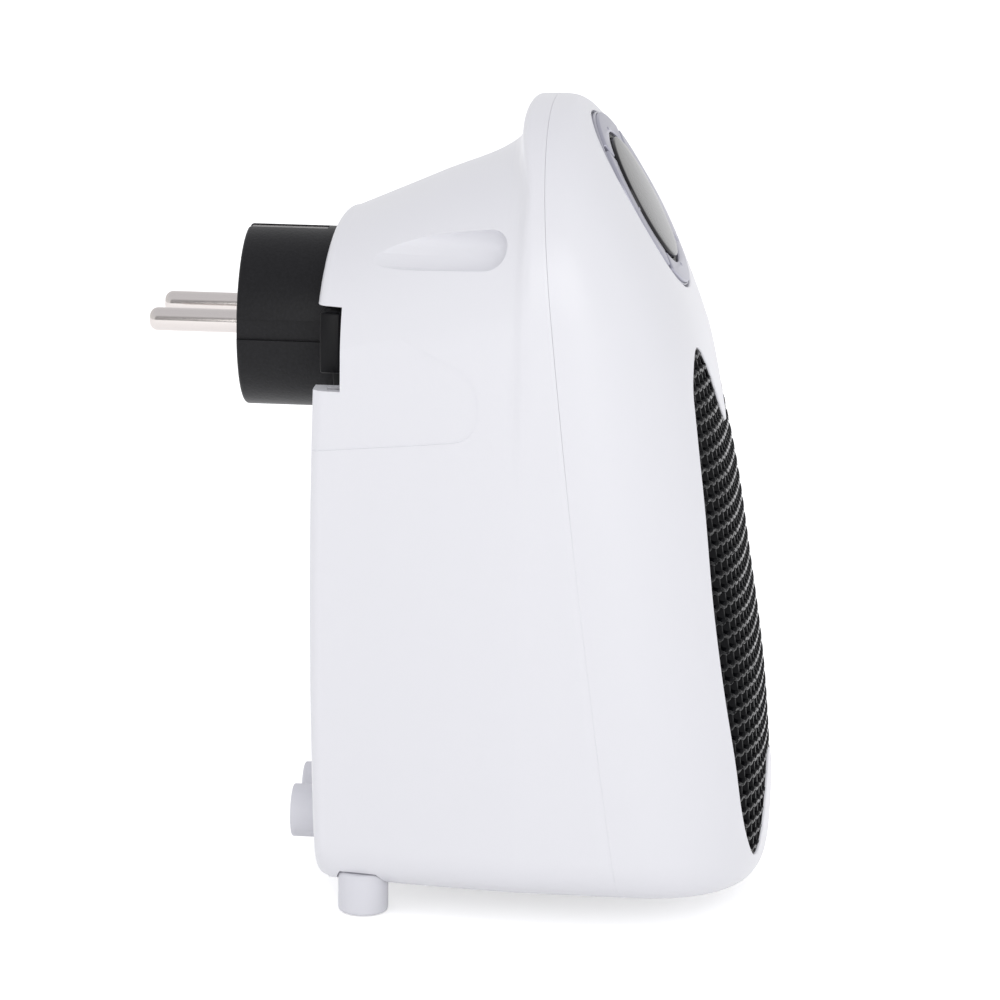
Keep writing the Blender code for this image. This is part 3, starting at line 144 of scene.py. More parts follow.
def natural_spline(rows):
    """Twice smooth curve through (place, size) rows."""
    x, y = np.array(rows, float).T
    n = len(x)
    h = np.diff(x)
    system = np.eye(n)
    right = np.zeros(n)
    for i in range(1, n - 1):
        system[i, i - 1:i + 2] = h[i - 1], 2 * (h[i - 1] + h[i]), h[i]
        right[i] = 6 * ((y[i + 1] - y[i]) / h[i] - (y[i] - y[i - 1]) / h[i - 1])
    bend = np.linalg.solve(system, right)

    def value(at):
        at = np.clip(at, x[0], x[-1])
        i = np.clip(np.searchsorted(x, at) - 1, 0, n - 2)
        a, b = x[i + 1] - at, at - x[i]
        return (
            (bend[i] * a**3 + bend[i + 1] * b**3) / (6 * h[i])
            + (y[i] / h[i] - bend[i] * h[i] / 6) * a
            + (y[i + 1] / h[i] - bend[i + 1] * h[i] / 6) * b
        )
    return value


def even_spline(rows):
    """Smooth curve through (place, size) rows that never overshoots."""
    x, y = np.array(rows, float).T
    h = np.diff(x)
    slope = np.diff(y) / h
    tilt = np.zeros(len(x))
    for i in range(1, len(x) - 1):
        if slope[i - 1] * slope[i] > 0:
            w1, w2 = 2 * h[i] + h[i - 1], h[i] + 2 * h[i - 1]
            tilt[i] = (w1 + w2) / (w1 / slope[i - 1] + w2 / slope[i])
    tilt[0], tilt[-1] = slope[0], slope[-1]

    def value(at):
        at = np.clip(at, x[0], x[-1])
        i = np.clip(np.searchsorted(x, at) - 1, 0, len(x) - 2)
        t = (at - x[i]) / h[i]
        return (
            (2 * t**3 - 3 * t**2 + 1) * y[i] + (t**3 - 2 * t**2 + t) * h[i] * tilt[i]
            + (3 * t**2 - 2 * t**3) * y[i + 1] + (t**3 - t**2) * h[i] * tilt[i + 1]
        )
    return value


profile_share = natural_spline(FRONT_SHARES)
top_line = even_spline(TOP_LINE)
flared = even_spline(FLARED_SHARES)
plain = even_spline(PLAIN_SHARES)


def front_reach(z):
    return FRONT_REACH * profile_share((z - BASE) / (CROWN - BASE))


def seam_reach(z):
    share = (z - BASE) / (CROWN - BASE)
    return lerp(SEAM_FOOT, SEAM_HEAD, share) - SEAM_BOW * 4 * share * (1 - share)


def seam_gap(z):
    """Half the hairline between the shells, which closes towards the foot."""
    return lerp(SEAM_FOOT_GAP, SEAM_GAP, smoothstep(*SEAM_OPENS, z)) / 2


def back_reach(z):
    middle = (BASE + BACK_TOP) / 2
    return -BACK_REACH + BACK_BOW * ((z - middle) / (middle - BASE)) ** 2


def half_outline(half, top, bottom, corner, counts):
    """Right half of a shell's outline, from the middle of its base to its crown, as (x, z) rows."""
    floor, bend, flank, crown = counts
    shoulder = SHOULDER - (CROWN - top) / 2
    x = [lerp(0, half - corner, i / floor) for i in range(floor)]
    z = [bottom] * floor
    for i in range(bend + 1):
        turn = QUARTER * i / bend
        x.append(half - corner * (1 - math.sin(turn)))
        z.append(bottom + corner * (1 - math.cos(turn)))
    for i in range(1, flank):
        x.append(half)
        z.append(lerp(bottom + corner, shoulder, i / flank))
    for i in range(crown + 1):
        turn = QUARTER * i / crown
        x.append(half * max(math.cos(turn), 0) ** (2 / CROWN_POWER) if i < crown else 0)
        z.append(lerp(shoulder, top, math.sin(turn) ** (2 / CROWN_POWER)))
    return np.array([x, z]).T


def closed_ring(half_rows):
    """Mirrors right-half rows (x, y, z) into one closed ring."""
    left = half_rows[-2:0:-1] * np.array([-1, 1, 1])
    return np.concatenate([half_rows, left])


def quads(rows, count, closed=False):
    """Faces between rows of count places each; closed joins the last row to the first."""
    faces = []
    for r in range(rows if closed else rows - 1):
        here, after = r * count, (r + 1) % rows * count
        for i in range(count):
            j = (i + 1) % count
            faces.append((here + i, here + j, after + j, after + i))
    return faces


def mesh_of(name, verts, faces):
    """A mesh whose places are merged where they meet, and whose faces look outward."""
    mesh = bpy.data.meshes.new(name)
    mesh.from_pydata([tuple(v) for v in verts], [], [tuple(f) for f in faces])
    shape = bmesh.new()
    shape.from_mesh(mesh)
    bmesh.ops.remove_doubles(shape, verts=shape.verts, dist=MERGE)
    bmesh.ops.dissolve_degenerate(shape, edges=shape.edges, dist=MERGE / 4)
    bmesh.ops.recalc_face_normals(shape, faces=shape.faces)
    shape.to_mesh(mesh)
    shape.free()
    return mesh


def loft(name, rings):
    """Closed rings of equal count, skinned, with flat side-to-side strips over each open end."""
    count = len(rings[0])
    half = count // 2
    verts = np.concatenate(rings)
    faces = quads(len(rings), count)
    for start in (0, (len(rings) - 1) * count):
        level = verts[start:start + half + 1, 2]
        first = int(np.argmax(level > level[0] + FIT / 100))
        foot = [start + i for i in range(first + 1)]
        faces.append(foot + [start + count - i for i in range(first, 0, -1)])
        for i in range(first, half):
            strip = [start + i, start + i + 1, start + (count - i - 1) % count, start + (count - i) % count]
            faces.append(list(dict.fromkeys(strip)))
    return mesh_of(name, verts, faces)


COUNTS = (8, 14, 120, 84)  # steps along the base, the corner, the flank and the crown
ROUGH_COUNTS = (3, 5, 14, 16)
EDGE_STEPS = 7
OUTER_SHARES = [*np.linspace(0, 0.76, 66), *np.linspace(0.77, 0.95, 34), *np.linspace(0.957, 0.985, 5)]
INNER_SHARES = (0, 0.2, 0.4, 0.6, 0.75, 0.82, 0.87, 0.9, 0.94, 0.97)


def rim_reach(z):
    return lerp(RIM_REACH, RIM_HEAD, smoothstep(*RIM_BEND, z))


def station_reach(z, share):
    if share <= RIM:
        return lerp(back_reach(z) + BACK_EDGE, rim_reach(z), share / RIM)
    return lerp(rim_reach(z), seam_reach(z), (share - RIM) / (1 - RIM))


def station_width(z, share):
    fade = smoothstep(*FLARE_STARTS, z)
    return lerp(BACK_WIDTH / 2, HALF, lerp(plain(share), flared(share), fade))


def rear_ring(share, inset, past=0.0, counts=COUNTS):
    top = float(top_line(share)) * MM
    rows = half_outline(HALF - inset, top - inset, BASE + inset, max(CORNER - inset, OVERRUN), counts)
    x, z = rows.T
    width = station_width(z, share)
    x = x * (width - inset) / (HALF - inset)
    reach = station_reach(z, share) + past
    return closed_ring(np.stack([x, y_at(reach), z], 1))


def edge_ring(turn, inset, counts):
    """A ring on the rounded edge of the back face: turn 0 on the face, a quarter turn at its end."""
    in_more = BACK_EDGE * (1 - math.sin(turn))
    rows = half_outline(
        BACK_WIDTH / 2 - inset - in_more, BACK_TOP - inset - in_more, BASE + inset + in_more,
        max(CORNER - inset - in_more, OVERRUN), counts,
    )
    x, z = rows.T
    return closed_ring(np.stack([x, y_at(back_reach(z) + inset + BACK_EDGE * (1 - math.cos(turn))), z], 1))


def rear_outer():
    rings = [edge_ring(QUARTER * i / EDGE_STEPS, 0, COUNTS) for i in range(EDGE_STEPS)]
    rings += [rear_ring(float(share), 0) for share in OUTER_SHARES]
    for drop, back in SEAM_ROUND:
        ring = rear_ring(1.0, drop * MM, -back * MM)
        ring[:, 1] += seam_gap(ring[:, 2])
        rings.append(ring)
    return loft("rear_outer", rings)


def rear_inner(name, inset, past):
    rings = [edge_ring(0, inset, ROUGH_COUNTS), edge_ring(math.pi / 4, inset, ROUGH_COUNTS)]
    rings += [rear_ring(share, inset, 0, ROUGH_COUNTS) for share in INNER_SHARES]
    rings.append(rear_ring(1.0, inset, past, ROUGH_COUNTS))
    return loft(name, rings)


def front_level(x, z, inset, steps, past):
    start = seam_reach(z)
    reach = front_reach(z) - inset - start
    turn = np.linspace(-QUARTER, QUARTER, steps + 1)
    side = np.sign(turn) * np.abs(np.sin(turn)) ** (2 / FRONT_POWER)
    ahead = np.maximum(np.cos(turn), 0) ** (2 / FRONT_POWER)
    y = y_at(start + reach * ahead)
    y[0] = y[-1] = y_at(start - past + (seam_gap(z) if past == 0 else 0))
    return np.stack([x * side, y, np.full(steps + 1, z)], 1)


def front_form(name, inset, past, counts, steps):
    rows = half_outline(HALF - inset, CROWN - inset, BASE + inset, max(CORNER - inset, OVERRUN), counts)
    rows = rows[counts[0]:]
    rings = [front_level(x, z, inset, steps, past) for x, z in rows]
    count = steps + 1
    faces = quads(len(rings), count) + [list(range(count))]
    return mesh_of(name, np.concatenate(rings), faces)


def level_width(z):
    """Half width of the front shell's outer form at a height."""
    low = np.clip((BASE + CORNER - z) / CORNER, 0, 1)
    high = np.clip((z - SHOULDER) / (CROWN - SHOULDER), 0, 1)
    return (HALF - CORNER * (1 - np.sqrt(1 - low**2))) * (1 - high**CROWN_POWER) ** (1 / CROWN_POWER)


def front_y(x, z, inset=0.0):
    """World Y of the front surface at a place seen from the front."""
    share = np.clip(np.abs(x) / (level_width(z) - inset), 0, 0.9999)
    start = seam_reach(z)
    return y_at(start + (front_reach(z) - inset - start) * (1 - share**FRONT_POWER) ** (1 / FRONT_POWER))


def outward(ring):
    """Unit steps out of a closed ring of (x, z) rows that runs anticlockwise."""
    run = np.roll(ring, -1, 0) - np.roll(ring, 1, 0)
    out = np.stack([run[:, 1], -run[:, 0]], 1)
    return out / np.linalg.norm(out, axis=1, keepdims=True)


def outlet_outline(grow, steps=320):
    """The opening seen from the front, anticlockwise from the dip at its foot, and moved out by grow."""
    half = [(x * OUTLET_WIDTH / 2, lerp(OUTLET_FOOT, OUTLET_TOP, z)) for x, z in reversed(OUTLET_SHARES)]
    both = half + [(-x, z) for x, z in half[-2::-1]]
    places = np.array(both[-4:-1] + both + both[1:4])
    along = np.concatenate([[0], np.cumsum(np.hypot(*np.diff(places, axis=0).T))])
    at = np.linspace(along[3], along[-4], steps + 1)[:-1]
    x, z = (natural_spline(list(zip(along, row)))(at) for row in places.T)
    ring = np.stack([x, z], 1)
    return ring + outward(ring) * grow


def within(ring, places):
    """Which places lie inside a closed ring."""
    a, b = ring, np.roll(ring, -1, 0)
    x, z = places[:, 0:1], places[:, 1:2]
    crosses = (a[:, 1] > z) != (b[:, 1] > z)
    rise = np.where(b[:, 1] == a[:, 1], 1, b[:, 1] - a[:, 1])
    at = a[:, 0] + (z - a[:, 1]) / rise * (b[:, 0] - a[:, 0])
    return (crosses & (at > x)).sum(1) % 2 == 1


# Helpers for solid shapes
def new_object(name, data):
    obj = bpy.data.objects.new(name, data)
    bpy.context.scene.collection.objects.link(obj)
    return obj


def mesh_from(shape, name):
    """Ends a bmesh and gives its mesh."""
    mesh = bpy.data.meshes.new(name)
    shape.to_mesh(mesh)
    shape.free()
    return mesh


def baked(obj):
    """An object's mesh with its modifiers applied; the object is removed."""
    bpy.context.view_layer.update()
    mesh = bpy.data.meshes.new_from_object(obj.evaluated_get(bpy.context.evaluated_depsgraph_get()))
    bpy.data.objects.remove(obj)
    return mesh


def carve(name, base, steps):
    """Applies (operation, mesh) steps to a mesh, and gives the result."""
    target = new_object(name, base)
    tools = [new_object(f"{name}_tool_{index}", mesh) for index, (_, mesh) in enumerate(steps)]
    for tool, (operation, _) in zip(tools, steps):
        modifier = target.modifiers.new(tool.name, "BOOLEAN")
        modifier.object = tool
        modifier.operation = operation
        modifier.solver = "EXACT"
    result = baked(target)
    for tool in tools:
        bpy.data.objects.remove(tool)
    result.name = name
    return result


def bevelled(mesh, width):
    """A mesh with its sharp edges rounded."""
    obj = new_object("form", mesh)
    bevel = obj.modifiers.new("edge", "BEVEL")
    bevel.width = width
    bevel.segments = 3
    bevel.limit_method = "ANGLE"
    bevel.angle_limit = math.radians(40)
    return baked(obj)


def joined(name, meshes):
    """One mesh of several that don't touch each other."""
    shape = bmesh.new()
    for mesh in meshes:
        shape.from_mesh(mesh)
    return mesh_from(shape, name)


def at_frame(mesh, matrix):
    mesh.transform(matrix)
    return mesh


def drum(radius, low, high, at=(0, 0), sides=64, axes=Matrix()):
    """A cylinder along Z, or along the Z of other axes."""
    shape = bmesh.new()
    middle = Matrix.Translation((*at, (low + high) / 2))
    bmesh.ops.create_cone(
        shape, cap_ends=True, segments=sides, radius1=radius, radius2=radius, depth=high - low, matrix=middle,
    )
    return at_frame(mesh_from(shape, "drum"), axes)


def block(low, high):
    shape = bmesh.new()
    low, high = Vector(low), Vector(high)
    size = Matrix.Diagonal((*(high - low), 1))
    bmesh.ops.create_cube(shape, size=1, matrix=Matrix.Translation((high + low) / 2) @ size)
    return mesh_from(shape, "block")


def prism(outline, low, high):
    count = len(outline)
    verts = [(x, y, low) for x, y in outline] + [(x, y, high) for x, y in outline]
    faces = [list(range(count)), list(range(count, 2 * count))] + quads(2, count)
    return mesh_of("prism", verts, faces)


def spun(profile, sides=96):
    """A profile of (radius, height) rows turned about Z; it is closed if it starts off the axis."""
    count = len(profile)
    strips = count if profile[0][0] > 0 else count - 1
    verts, faces = [], []
    for i in range(sides):
        turn = 2 * math.pi * i / sides
        verts += [(r * math.cos(turn), r * math.sin(turn), h) for r, h in profile]
        j = (i + 1) % sides
        for k in range(strips):
            m = (k + 1) % count
            faces.append((i * count + k, j * count + k, j * count + m, i * count + m))
    return mesh_of("spun", verts, faces)


def rounded(profile, radius, steps=4):
    """Rounds the inner corners of an open profile of (x, y) rows, each by less than half of its sides."""
    out = [profile[0]]
    for a, b, c in zip(profile, profile[1:], profile[2:]):
        before, here, after = np.array(a, float), np.array(b, float), np.array(c, float)
        back, ahead = np.linalg.norm(before - here), np.linalg.norm(after - here)
        reach = min(radius, back / 2.01, ahead / 2.01)
        start = here + (before - here) / back * reach
        end = here + (after - here) / ahead * reach
        for i in range(steps + 1):
            t = i / steps
            out.append(tuple((1 - t) ** 2 * start + 2 * t * (1 - t) * here + t * t * end))
    out.append(profile[-1])
    return out


def arc(radius, start, end, steps):
    turns = np.linspace(start, end, steps + 1)
    return [(radius * math.cos(t), radius * math.sin(t)) for t in turns]


def frame_at(reach, height, turn):
    """A frame on the middle plane, turned about X."""
    return Matrix.Translation((0, y_at(reach), height)) @ Matrix.Rotation(turn, 4, "X")


FORWARD = frame_at(0, 0, QUARTER)
PLUG = frame_at(-BACK_REACH, PLUG_HEIGHT, -QUARTER)
FAN = frame_at(0, FAN_HEIGHT, QUARTER)
DIAL = frame_at(DIAL_REACH, DIAL_HEIGHT, QUARTER - DIAL_TILT)


# Finishes
COAT_ROUGHNESS = 0.25
WEAR_SCALE = 55
BUMP_STRENGTH = 0.5


def set_inputs(node, values):
    for key, value in values.items():
        node.inputs[key].default_value = value
    return node


def finish(name, colour, roughness, metallic=0.0, grain=0.0, grain_scale=900.0, wear=0.0, coat=0.0, tint=0.0,
           gloss=0.5):
    """A material: wear varies its roughness, tint its colour, and grain is the height of its bumps."""
    made = bpy.data.materials.new(name)
    made.use_nodes = True
    nodes, links = made.node_tree.nodes, made.node_tree.links
    shader = nodes["Principled BSDF"]
    set_inputs(shader, {
        "Base Color": (*colour, 1), "Roughness": roughness, "Metallic": metallic, "Specular IOR Level": gloss,
        "Coat Weight": coat, "Coat Roughness": COAT_ROUGHNESS,
    })
    where = nodes.new("ShaderNodeTexCoord")

    def cloud(scale, detail):
        noise = set_inputs(nodes.new("ShaderNodeTexNoise"), {"Scale": scale, "Detail": detail})
        links.new(where.outputs["Object"], noise.inputs["Vector"])
        return noise.outputs["Fac"]

    if wear:
        limits = {"To Min": roughness - wear, "To Max": roughness + wear}
        span = set_inputs(nodes.new("ShaderNodeMapRange"), limits)
        links.new(cloud(WEAR_SCALE, detail=6), span.inputs["Value"])
        links.new(span.outputs["Result"], shader.inputs["Roughness"])
    if tint:
        mix = nodes.new("ShaderNodeMix")
        mix.data_type = "RGBA"
        dark, light = ((*[c * share for c in colour], 1) for share in (1 - tint, 1 + tint))
        set_inputs(mix, {"A": dark, "B": light})
        links.new(cloud(grain_scale, detail=3), mix.inputs["Factor"])
        links.new(mix.outputs["Result"], shader.inputs["Base Color"])
    if grain:
        bump = set_inputs(nodes.new("ShaderNodeBump"), {"Strength": BUMP_STRENGTH, "Distance": grain})
        links.new(cloud(grain_scale, detail=4), bump.inputs["Height"])
        links.new(bump.outputs["Normal"], shader.inputs["Normal"])
    return made


SHELL = finish(
    "shell_white", (0.79, 0.79, 0.825), 0.36, grain=0.02 * MM, grain_scale=1400, wear=0.05, coat=0.15,
)
RUBBER = finish("foot_white", (0.72, 0.72, 0.765), 0.5, grain=0.03 * MM, grain_scale=1200)
BLACK = finish(
    "plug_black", (0.009, 0.009, 0.0105), 0.42, grain=0.12 * MM, grain_scale=1500, wear=0.08, tint=0.5,
    gloss=0.2,
)
COLLAR = finish("collar_black", (0.006, 0.006, 0.007), 0.38, grain=0.04 * MM, grain_scale=1500, gloss=0.15)
GRILLE = finish(
    "grille_black", (0.004, 0.004, 0.005), 0.12, grain=0.002 * MM, grain_scale=1800, wear=0.02, gloss=0.08,
)
SILVER = finish("key_silver", (0.4, 0.4, 0.465), 0.32, 0.6, grain=0.01 * MM, grain_scale=2500, wear=0.05)
LIP = finish("bezel_silver", (0.5, 0.5, 0.55), 0.3, 0.6, wear=0.05)
LENS = finish("display_black", (0.01, 0.01, 0.012), 0.16, wear=0.02, gloss=0.3)
NICKEL = finish("nickel", (0.66, 0.62, 0.6), 0.16, 1.0, grain=0.01 * MM, grain_scale=2600, wear=0.04)
# Painted reflection: the earth clips' metal is given a dark colour that stands in for the dark reflection the
# strip shows.
CLIP = finish("clip_nickel_painted_dark", (0.16, 0.15, 0.15), 0.3, 1.0, wear=0.08)
STEEL = finish("steel", (0.55, 0.56, 0.58), 0.3, 1.0, wear=0.06)
INNER = finish("inner_grey", (0.03, 0.03, 0.033), 0.55, grain=0.03 * MM)
BOARD = finish("board_green", (0.012, 0.08, 0.03), 0.45, tint=0.4, grain_scale=300)
ALUMINIUM = finish("aluminium", (0.6, 0.61, 0.62), 0.38, 1.0, wear=0.08)


def piece(name, mesh, look, body, replaces=(), sharp=40):
    mesh.shade_smooth()
    mesh.set_sharp_from_angle(angle=math.radians(sharp))
    mesh.materials.clear()
    mesh.materials.append(look)
    obj = new_object(name, mesh)
    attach(obj, body)
    if replaces:
        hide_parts(*replaces)


# Places that the shells and the small pieces share
SIDES = ((-1, "near"), (1, "far"))
LOWER_SCREW = (32 * MM, 13 * MM)
UPPER_SCREW = (23.5 * MM, 128.5 * MM)
CASE_PLACES = [(side * x, z) for x, z in (LOWER_SCREW, UPPER_SCREW) for side in (-1, 1)]
CASE_BOSS = 4.2 * MM
CASE_BORE = 1.7 * MM
CASE_HEAD = 3 * MM
CASE_SEAT = 10 * MM  # depth behind the seam where a screw's head sits
CASE_PILOT = 7.3 * MM
FOOT_SIDE = 33 * MM
FOOT_REACH = -23.6 * MM
BUMPER_SIDE = 8.6 * MM
BUMPER_HEIGHT = 13.4 * MM

# Rear shell
EAR_CIRCLE = 35.6 * MM
EAR_PLACES = arc(EAR_CIRCLE, math.pi / 4, math.pi * 7 / 4, 3)
POST_RADIUS = 3.6 * MM
EAR_POST_REACH = -18.9 * MM
BOARD_POST = (27 * MM, 104.5 * MM)
BOARD_POST_REACH = -13.3 * MM
PAN_TOP = -1.5 * MM
SEAT_TOP = -1.6 * MM
COLLAR_SEAT = 21.2 * MM
PLUG_HOLE = 18.8 * MM
INTAKE_RADIUS = 27 * MM
SLOT_PITCH = 6 * MM
SLOT_END = 1.2 * MM
SLOT_ROWS = 4  # above and below the middle one
FOOT_HOLE = (5.4 * MM, 8.8 * MM)
BUMPER_HOLE = (3.3 * MM, 6 * MM)
SWITCH_IN = 32.5 * MM
SWITCH_REACHES = (-6.5 * MM, -17.5 * MM)
SWITCH_HEIGHTS = (104 * MM, 120 * MM)
SCOOP_RADIUS = 4.6 * MM
SCOOP_LENGTH = 26 * MM
SCOOP_SIDE = 36.8 * MM
SCOOP_REACH = 0.5 * MM
SCOOP_HEIGHT = 137.2 * MM
SCOOP_TURN = math.radians(8.9)
PANEL_CORNERS = ((-50, 134.9), (-0.5, 112.7), (-0.5, 100.2), (-50, 93.8))  # reach and height in mm
PANEL_ROUND = 5.5  # in mm too
PANEL_GRID = (np.arange(-49.2, 0, 0.9), np.arange(95, 134, 2))  # its inner places in mm
PANEL_APART = 0.4 * MM
PANEL_STEP = 0.25 * MM


def scoop(side, grow):
    """A capsule that enters the flank at the rear and runs deeper towards the front."""
    shape = bmesh.new()
    bmesh.ops.create_uvsphere(shape, u_segments=72, v_segments=35, radius=SCOOP_RADIUS + grow)
    far = [vert for vert in shape.verts if vert.co.z < 0]
    bmesh.ops.translate(shape, verts=far, vec=(0, 0, -SCOOP_LENGTH))
    place = Matrix.Translation((side * SCOOP_SIDE, y_at(SCOOP_REACH), SCOOP_HEIGHT))
    turn = Matrix.Rotation(side * SCOOP_TURN, 4, "Z") @ Matrix.Rotation(math.radians(90), 4, "X")
    return at_frame(mesh_from(shape, "scoop"), place @ turn)


def flank_x(reach, z):
    """Half width of the rear shell at places on its flank."""
    foot = back_reach(z) + BACK_EDGE
    share = np.clip((reach - foot) / (rim_reach(z) - foot), 0, 1) * RIM
    round_share = np.clip((foot - reach) / BACK_EDGE, 0, 0.97)
    width = np.array([float(station_width(at, part)) for at, part in zip(z, share)])
    return width - BACK_EDGE * (1 - np.sqrt(1 - round_share**2))


def panel_plate(side):
    """A plate over the flank that reaches into it as deep as the step round the notch."""
    corners = rounded(PANEL_CORNERS, PANEL_ROUND, 10)
    outline = []
    for a, b in zip(corners, corners[1:] + corners[:1]):
        count = max(int(math.dist(a, b)), 1)
        outline += [tuple(lerp(p, q, i / count) * MM for p, q in zip(a, b)) for i in range(count)]
    outer = len(outline)
    ring = np.array(outline)
    fill = np.stack([grid.ravel() for grid in np.meshgrid(*PANEL_GRID)], 1) * MM
    fill = fill[within(ring, fill)]
    apart = np.hypot(fill[:, 0:1] - ring[:, 0], fill[:, 1:2] - ring[:, 1]).min(1)
    points = [Vector(place) for place in outline] + [Vector(place) for place in fill[apart > PANEL_APART]]
    edges = [(i, (i + 1) % outer) for i in range(outer)]
    flat, _, faces, _, _, _ = geometry.delaunay_2d_cdt(points, edges, [], 1, 0.001 * MM)
    flat = np.array([tuple(place) for place in flat])
    middles = np.array([flat[list(face)].mean(0) for face in faces])
    faces = [list(face) for face, kept in zip(faces, within(ring, middles)) if kept]
    reach, z = flat.T
    low = np.stack([side * (flank_x(reach, z) - PANEL_STEP), y_at(reach), z], 1)
    high = np.stack([np.full(len(z), side * (HALF + OVERRUN)), y_at(reach), z], 1)
    count = len(flat)
    walls = [(i, j, count + j, count + i) for i, j in edges]
    faces += [[i + count for i in face] for face in faces] + walls
    return mesh_of("panel_plate", np.concatenate([low, high]), faces)


def recess_outline(radius, top, steps=90):
    lift = math.asin(top / radius)
    return arc(radius, -lift, math.pi + lift, steps)


def rear_bosses():
    """The recess's pan, the screw bosses, the fan's and the board's posts and the scoops' walls."""
    pan = RECESS_DEPTH + WALL
    outline = recess_outline(RECESS_RADIUS + WALL, NOTCH_HEIGHT / 2 + WALL)
    adds = [at_frame(prism(outline, -pan, PAN_TOP), PLUG)]
    adds.append(drum(COLLAR_RADIUS + WALL, -pan + 0.1 * MM, SEAT_TOP, axes=PLUG))
    for x, z in CASE_PLACES:
        low, high = float(back_reach(z)), float(seam_reach(z)) - FIT / 2
        adds.append(drum(CASE_BOSS, low, high, (x, z), 32, FORWARD))
    for place in EAR_PLACES:
        adds.append(drum(POST_RADIUS, -BACK_REACH, EAR_POST_REACH, place, 24, FAN))
    for side in (-1, 1):
        place = (side * BOARD_POST[0], BOARD_POST[1])
        adds.append(drum(POST_RADIUS, -BACK_REACH, BOARD_POST_REACH, place, 24, FORWARD))
        adds.append(scoop(side, WALL))
    steps = [("UNION", mesh) for mesh in adds[1:]]
    steps.append(("INTERSECT", rear_inner("boss_trim", WALL / 2, OVERRUN)))
    return carve("bosses", adds[0], steps)


def plug_cuts():
    half = NOTCH_HEIGHT / 2
    cuts = [
        prism(recess_outline(RECESS_RADIUS, half), -RECESS_DEPTH, OVERRUN),
        drum(COLLAR_SEAT, -RECESS_DEPTH + 0.02 * MM, OVERRUN * 1.1, sides=96),
        drum(PLUG_HOLE, -RECESS_DEPTH - WALL - OVERRUN, OVERRUN * 1.2, sides=96),
        block((-HALF - OVERRUN, -half, -NOTCH_DEPTH), (HALF + OVERRUN, half, OVERRUN * 0.9)),
    ]
    return [at_frame(mesh, PLUG) for mesh in cuts]


def intake_slots():
    slots = []
    for row in range(-SLOT_ROWS, SLOT_ROWS + 1):
        up = row * SLOT_PITCH
        half = math.sqrt(INTAKE_RADIUS**2 - up**2) - SLOT_END
        ends = arc(SLOT_END, -QUARTER, QUARTER, 8)
        outline = [(half + x, up + y) for x, y in ends] + [(-half - x, up - y) for x, y in ends]
        low, high = -BACK_REACH - OVERRUN, -BACK_REACH + BACK_BOW + WALL + OVERRUN
        slots.append(at_frame(prism(outline, low, high), FAN))
    return joined("slots", slots)


def rear_holes():
    """Two meshes: the heads' wells with the feet's and bumpers' holes, and the case screws' bores."""
    holes, bores = [], []
    for x, z in CASE_PLACES:
        seam = float(seam_reach(z))
        holes.append(drum(CASE_HEAD, -BACK_REACH - OVERRUN, seam - CASE_SEAT, (x, z), 40, FORWARD))
        low, high = seam - CASE_SEAT - OVERRUN, seam + OVERRUN
        bores.append(drum(CASE_BORE, low, high, (x, z), 24, FORWARD))
    for side in (-1, 1):
        radius, height = FOOT_HOLE
        holes.append(drum(radius, -OVERRUN, height, (side * FOOT_SIDE, y_at(FOOT_REACH)), 64))
        radius, depth = BUMPER_HOLE
        place = (side * BUMPER_SIDE, BUMPER_HEIGHT)
        holes.append(drum(radius, -BACK_REACH - OVERRUN, -BACK_REACH + depth, place, 32, FORWARD))
    return joined("holes", holes), joined("bores", bores)


def make_rear_shell():
    low = (SWITCH_IN, y_at(SWITCH_REACHES[0]), SWITCH_HEIGHTS[0])
    high = (HALF + OVERRUN, y_at(SWITCH_REACHES[1]), SWITCH_HEIGHTS[1])
    cuts = [*plug_cuts(), intake_slots(), *rear_holes(), block(low, high)]
    cuts += [scoop(side, 0) for side in (-1, 1)]
    cuts += [panel_plate(side) for side in (-1, 1)]
    steps = [("DIFFERENCE", rear_inner("rear_hollow", WALL, OVERRUN)), ("UNION", rear_bosses())]
    steps += [("DIFFERENCE", cut) for cut in cuts]
    mesh = carve("rear_shell_skin", rear_outer(), steps)
    piece("rear_shell_skin", mesh, SHELL, "housing", ["rear_shell"], 28)


# Edges swept over the front surface
def sweep(name, path, outs, downs, profile):
    """A white edge: carries a profile of (outward, down, straight back) rows along a closed path."""
    verts = []
    for point, out, down in zip(path, outs, downs):
        verts += [point + out * o + down * d + np.array([0, back, 0]) for o, d, back in profile]
    mesh = mesh_of(name, verts, quads(len(path), len(profile), closed=True))
    piece(name, mesh, SHELL, "housing")


def surface_normal(x, z):
    """Outward normal of the front surface, as (x, y, z)."""
    step = 0.2 * MM
    slope_x = (front_y(x + step, z) - front_y(x - step, z)) / (2 * step)
    slope_z = (front_y(x, z + step) - front_y(x, z - step)) / (2 * step)
    normal = np.stack([slope_x, -np.ones_like(slope_x), slope_z], -1)
    return normal / np.linalg.norm(normal, axis=-1, keepdims=True)


# Front shell
FRONT_STEPS = 150
ROUGH_STEPS = 40
LIP_CUT = 0.63 * MM
LIP_WIDTH = 0.648 * MM  # a little past the cut
LIP_DROP = 0.4 * MM
LIP_DEPTH = 1.9 * MM
EAR_IN = 17.8 * MM  # the pads that the bezel's ears meet, in the dial's frame
EAR_OUT = 25.2 * MM
EAR_HALF = 3.5 * MM
EAR_LEVELS = (-2.7 * MM, 4.2 * MM)
EAR_PILOT = 1.3 * MM
EAR_PILOT_SIDE = 22.5 * MM
EAR_PILOT_LEVELS = (-4.2 * MM, -1.9 * MM)
SEAT_RADIUS = 20.6 * MM
SEAT_LEVELS = (-6.2 * MM, 28 * MM)
SEAT_EDGE_RADIUS = 20.9 * MM


